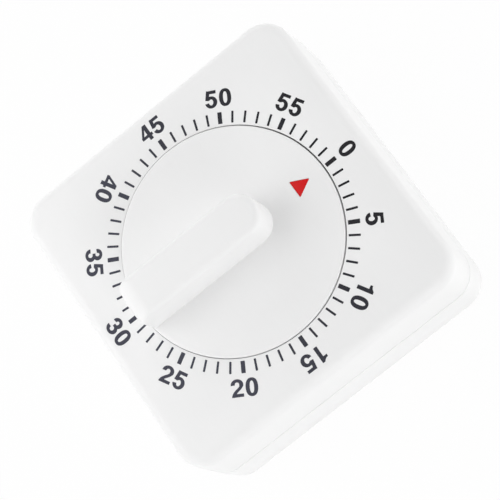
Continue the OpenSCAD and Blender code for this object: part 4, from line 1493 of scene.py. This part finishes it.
@dataclass(frozen=True)
class BentSpring:
    """A spring held on one body and pushed by another, scored so that it can bend between its
    ends.
    """

    name: str
    node: str
    held: str
    pushed: str
    start: Point
    end: Point

    # How many steps it is scored in.
    STEPS: ClassVar[int] = 14

    def make(self) -> bpy.types.Object:
        """Copy the CAD spring and score it between its two ends."""
        spring = Shape.from_node(self.name, self.node)
        return spring.score(self.start, self.end, self.STEPS).finish()

    def bend(self, obj: bpy.types.Object) -> None:
        """Put the finished spring's place into its mesh."""
        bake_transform(obj)


class Movement:
    """The spring-driven movement, whose CAD pieces keep their shapes and take metal finishes."""

    BRASS = Metal("rolled_brass", (0.80, 0.60, 0.27), (0.62, 0.43, 0.17), 0.30, Grain.ROLLED)
    CUT_BRASS = Metal("turned_brass", (0.82, 0.63, 0.30), (0.66, 0.46, 0.19), 0.26, Grain.TURNED)
    STEEL = Metal("turned_steel", (0.62, 0.63, 0.65), (0.45, 0.46, 0.48), 0.28, Grain.TURNED)
    STAMPED = Metal("stamped_steel", (0.56, 0.57, 0.59), (0.40, 0.41, 0.43), 0.36, Grain.ROLLED)
    HARD = Metal("hardened_steel", (0.33, 0.34, 0.37), (0.20, 0.21, 0.23), 0.34, Grain.DRAWN)
    BLUED = Metal("blued_spring", (0.20, 0.23, 0.34), (0.10, 0.11, 0.17), 0.27, Grain.DRAWN)
    ZINC = Metal("zinc_screws", (0.68, 0.69, 0.71), (0.50, 0.52, 0.54), 0.33, Grain.TUMBLED)

    WEAR: dict[str, Metal] = {
        "front_plate": BRASS, "rear_plate": BRASS,
        "frame_pillars": STEEL, "plate_screws": ZINC, "movement_screws": ZINC,
        "main_arbor": STEEL, "release_cam": HARD, "ratchet_wheel": STAMPED,
        "mainspring": BLUED, "spring_stud": STEEL,
        "main_wheel": CUT_BRASS, "click_pawl_a": STAMPED, "click_pawl_b": STAMPED,
        "click_rivets": CUT_BRASS,
        "second_pinion": STEEL, "second_wheel": CUT_BRASS,
        "third_pinion": STEEL, "third_wheel": CUT_BRASS, "star_wheel": CUT_BRASS,
        "escape_pinion": STEEL, "escape_wheel": CUT_BRASS,
        "release_lever": STAMPED, "anchor_stud": CUT_BRASS, "anchor_clip": BLUED,
        "anchor": STAMPED, "anchor_weights": CUT_BRASS, "pallet_pins": HARD,
        "hammer_arbor": STEEL, "hammer_tail": STAMPED, "hammer_arm": STAMPED,
        "hammer_head": CUT_BRASS, "bell_screw": CUT_BRASS,
    }

    SPRINGS: tuple[BentSpring, ...] = (
        BentSpring("click_leaf_a", "click_spring_a", "main_wheel", "click_a",
                   (8.5, 0.47, 14.2), (6.4, 1.12, 14.2)),
        BentSpring("click_leaf_b", "click_spring_b", "main_wheel", "click_b",
                   (-8.5, -0.47, 14.2), (-6.4, -1.12, 14.2)),
        BentSpring("release_leaf", "release_spring", "case", "release_lever",
                   (14.45, -8.76, 19.3), (9.7, -7.06, 19.3)),
        BentSpring("hammer_coil", "hammer_spring", "release_lever", "hammer",
                   (5.95, -15.61, 17.9), (5.95, -15.61, 14.75)),
    )

    def dress(self) -> None:
        """Give every CAD piece of the movement its metal, turned about its own axis."""
        for name, metal in self.WEAR.items():
            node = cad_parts[name]
            low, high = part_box(name)
            finish = metal.make(tuple((low + high) / 2))
            finish.name = f"{metal.name}_{name}"
            if not node.material_slots:
                node.data.materials.append(None)
            for place in node.material_slots:
                place.material = finish
            log.info("%s: CAD shape, %s", name, metal.name)


@dataclass(frozen=True)
class Lamp:
    """A square soft lamp that faces the timer, with its distance and side in metres."""

    name: str
    toward: Point
    power: float
    away: float = 0.50
    side: float = 0.40
    mirrored: bool = False

    # The height that it faces, in metres.
    AIM: ClassVar[Vector] = Vector((0, 0, 0.02))

    def hang(self) -> None:
        """Add the lamp."""
        data = bpy.data.lights.new(self.name, "AREA")
        data.shape = "SQUARE"
        data.size = self.side
        data.energy = self.power
        obj = bpy.data.objects.new(self.name, data)
        bpy.context.scene.collection.objects.link(obj)
        line = Vector(self.toward).normalized()
        obj.location = line * self.away + self.AIM
        obj.rotation_mode = "QUATERNION"
        obj.rotation_quaternion = line.to_track_quat("Z", "Y")
        obj.visible_glossy = self.mirrored


@dataclass
class Studio:
    """The pale floor, the soft light and the camera."""

    lens: float = 138.136
    sensor: float = 36.0
    camera_at: Point = (0.12545, 0.06087, 0.39251)
    right: Point = (0.55403, 0.77324, -0.30845)
    up: Point = (-0.77198, 0.61588, 0.15731)
    back: Point = (0.31160, 0.15096, 0.93814)
    clip: Spot = (0.01, 10)
    floor_side: float = 3.0
    floor_drop: float = 0.0001
    floor_shown: float = 0.96
    paper: Speckle = Speckle(30, 3, 0.5)
    paper_dark: Rgb = (0.88, 0.88, 0.88)
    paper_light: Rgb = (0.92, 0.92, 0.915)
    white: Rgb = (1.0, 1.0, 1.0)
    sky: float = 0.37
    sky_south: float = 0.52
    lamps: tuple[Lamp, ...] = (
        Lamp("key_lamp", (-0.40, -0.90, 1.0), 0.36, 0.29, 0.30, True),
        Lamp("right_lamp", (1.0, 0.0, 0.15), 1.24),
        Lamp("far_lamp", (0.0, 1.0, 0.15), 1.46),
        Lamp("left_lamp", (-1.0, 0.0, 0.30), 0.52))

    def camera(self) -> None:
        """Set the camera where the dial's strokes say that it stood."""
        data = bpy.data.cameras.new("camera")
        data.lens = self.lens
        data.sensor_width = self.sensor
        data.clip_start, data.clip_end = self.clip
        obj = bpy.data.objects.new("camera", data)
        bpy.context.scene.collection.objects.link(obj)
        turn = Matrix((self.right, self.up, self.back)).transposed()
        obj.matrix_world = Matrix.Translation(self.camera_at) @ turn.to_4x4()
        bpy.context.scene.camera = obj

    def floor(self) -> None:
        """Lay the floor, white to the eye except where the timer shades it."""
        obj = Shape.add("floor", bpy.ops.mesh.primitive_plane_add, size=self.floor_side,
                        location=(0, 0, -self.floor_drop)).obj
        made, g = material("pale_paper")
        tone = g.noise(g.place(), self.paper)
        paper = g.node("ShaderNodeBsdfDiffuse", {}, {
            "Color": g.blend(tone, self.paper_dark, self.paper_light)})
        glow = g.node("ShaderNodeEmission", {}, {"Color": self.white, "Strength": 1.0})
        mixed = g.node("ShaderNodeMixShader", {}, {
            0: g.seen() * self.floor_shown, 1: paper[0], 2: glow[0]})
        g.node("ShaderNodeOutputMaterial", {}, {"Surface": mixed[0]})
        obj.data.materials.append(made)

    def world(self) -> None:
        """Light the room softly, and show it white to the eye."""
        room = bpy.data.worlds.new("room")
        room.use_nodes = True
        bpy.context.scene.world = room
        g = Graph(room.node_tree)
        where = g.node("ShaderNodeTexCoord")["Generated"]
        axes = g.node("ShaderNodeSeparateXYZ", {}, {0: where})
        strength = (axes["Y"] * -1).at_least(0) * self.sky_south + self.sky
        soft = g.node("ShaderNodeBackground", {}, {"Color": self.white, "Strength": strength})
        white = g.node("ShaderNodeBackground", {}, {"Color": self.white, "Strength": 1.0})
        mixed = g.node("ShaderNodeMixShader", {}, {0: g.seen(), 1: soft[0], 2: white[0]})
        g.node("ShaderNodeOutputWorld", {}, {"Surface": mixed[0]})

    def set_up(self) -> None:
        """Set camera, floor, world and lamps, and the plain view of colours."""
        self.camera()
        self.floor()
        self.world()
        for lamp in self.lamps:
            lamp.hang()
        bpy.context.scene.view_settings.view_transform = "Standard"


class Timer:
    """The whole timer: builds each sub-assembly and dresses it, and ties the case and knob pieces
    to their bodies.
    """

    WHITE = MouldedPlastic("white_moulded_plastic", rgb(246, 246, 246), rgb(240, 240, 240))
    # The dial ink's second colour and its two Y values give a painted sheen, lighter along -Y.
    INK = PrintedInk("dial_ink", rgb(27, 26, 30), rgb(66, 67, 78), 0.026, 0.042, 0.55)
    RED = PrintedInk("pointer_red", rgb(211, 14, 18), rgb(218, 28, 30), 0.5, 1.0)
    NICKEL = Metal("nickel_bell", (0.72, 0.71, 0.69), (0.60, 0.59, 0.57), 0.16, Grain.TURNED,
                   0.0004, 0.000002, 0.2)

    def dress(self, obj: bpy.types.Object, finish: bpy.types.Material, slot: str,
              *nodes: str) -> None:
        """Give a finished piece its material and hide the CAD nodes that it stands for.

        Args:
            obj: The piece.
            finish: Its material.
            slot: Not used.
            nodes: The CAD nodes that it stands for.
        """
        obj.data.materials.clear()
        obj.data.materials.append(finish)
        if nodes:
            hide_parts(*nodes)
        log.info("%s: %d faces, %s", obj.name, len(obj.data.polygons), finish.name)

    def put(self, obj: bpy.types.Object, finish: bpy.types.Material, body: str, slot: str,
            *nodes: str) -> None:
        """Dress a finished piece and tie it to the body that carries it."""
        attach(obj, body)
        self.dress(obj, finish, slot, *nodes)

    def build(self) -> None:
        """Build and dress every piece in order."""
        white = self.WHITE.make()
        ink = self.INK.make()
        red = self.RED.make()
        knob = KnobMoulding()
        self.put(FrontMoulding().make(), white, "case", "white_plastic", "front_shell")
        self.put(RearMoulding().make(), white, "case", "white_plastic", "rear_cover")
        self.put(knob.make(), white, "knob", "white_plastic", "knob")
        self.put(knob.make_mark(), red, "knob", "red_print", "pointer_mark")
        dial = DialPrint()
        for piece in dial.make_strokes() + dial.make_numbers():
            self.put(piece, ink, "case", "white_plastic")
        zinc = Movement.ZINC.make()
        for screw in CornerScrews().make():
            self.put(screw, zinc, "case", "screw_steel", "cover_screws")
        self.put(BellCup().make(), self.NICKEL.make(), "case", "bell_steel", "bell")
        Movement().dress()
        blued = Movement.BLUED.make()
        for spring in Movement.SPRINGS:
            piece = spring.make()
            self.dress(piece, blued, "spring_steel", spring.node)
            spring.bend(piece)


def main() -> None:
    """Build the timer and its studio, and log each piece as it is dressed."""
    logging.basicConfig(level=logging.INFO, format="%(message)s")
    Timer().build()
    Studio().set_up()


if __name__ == "__main__":
    main()
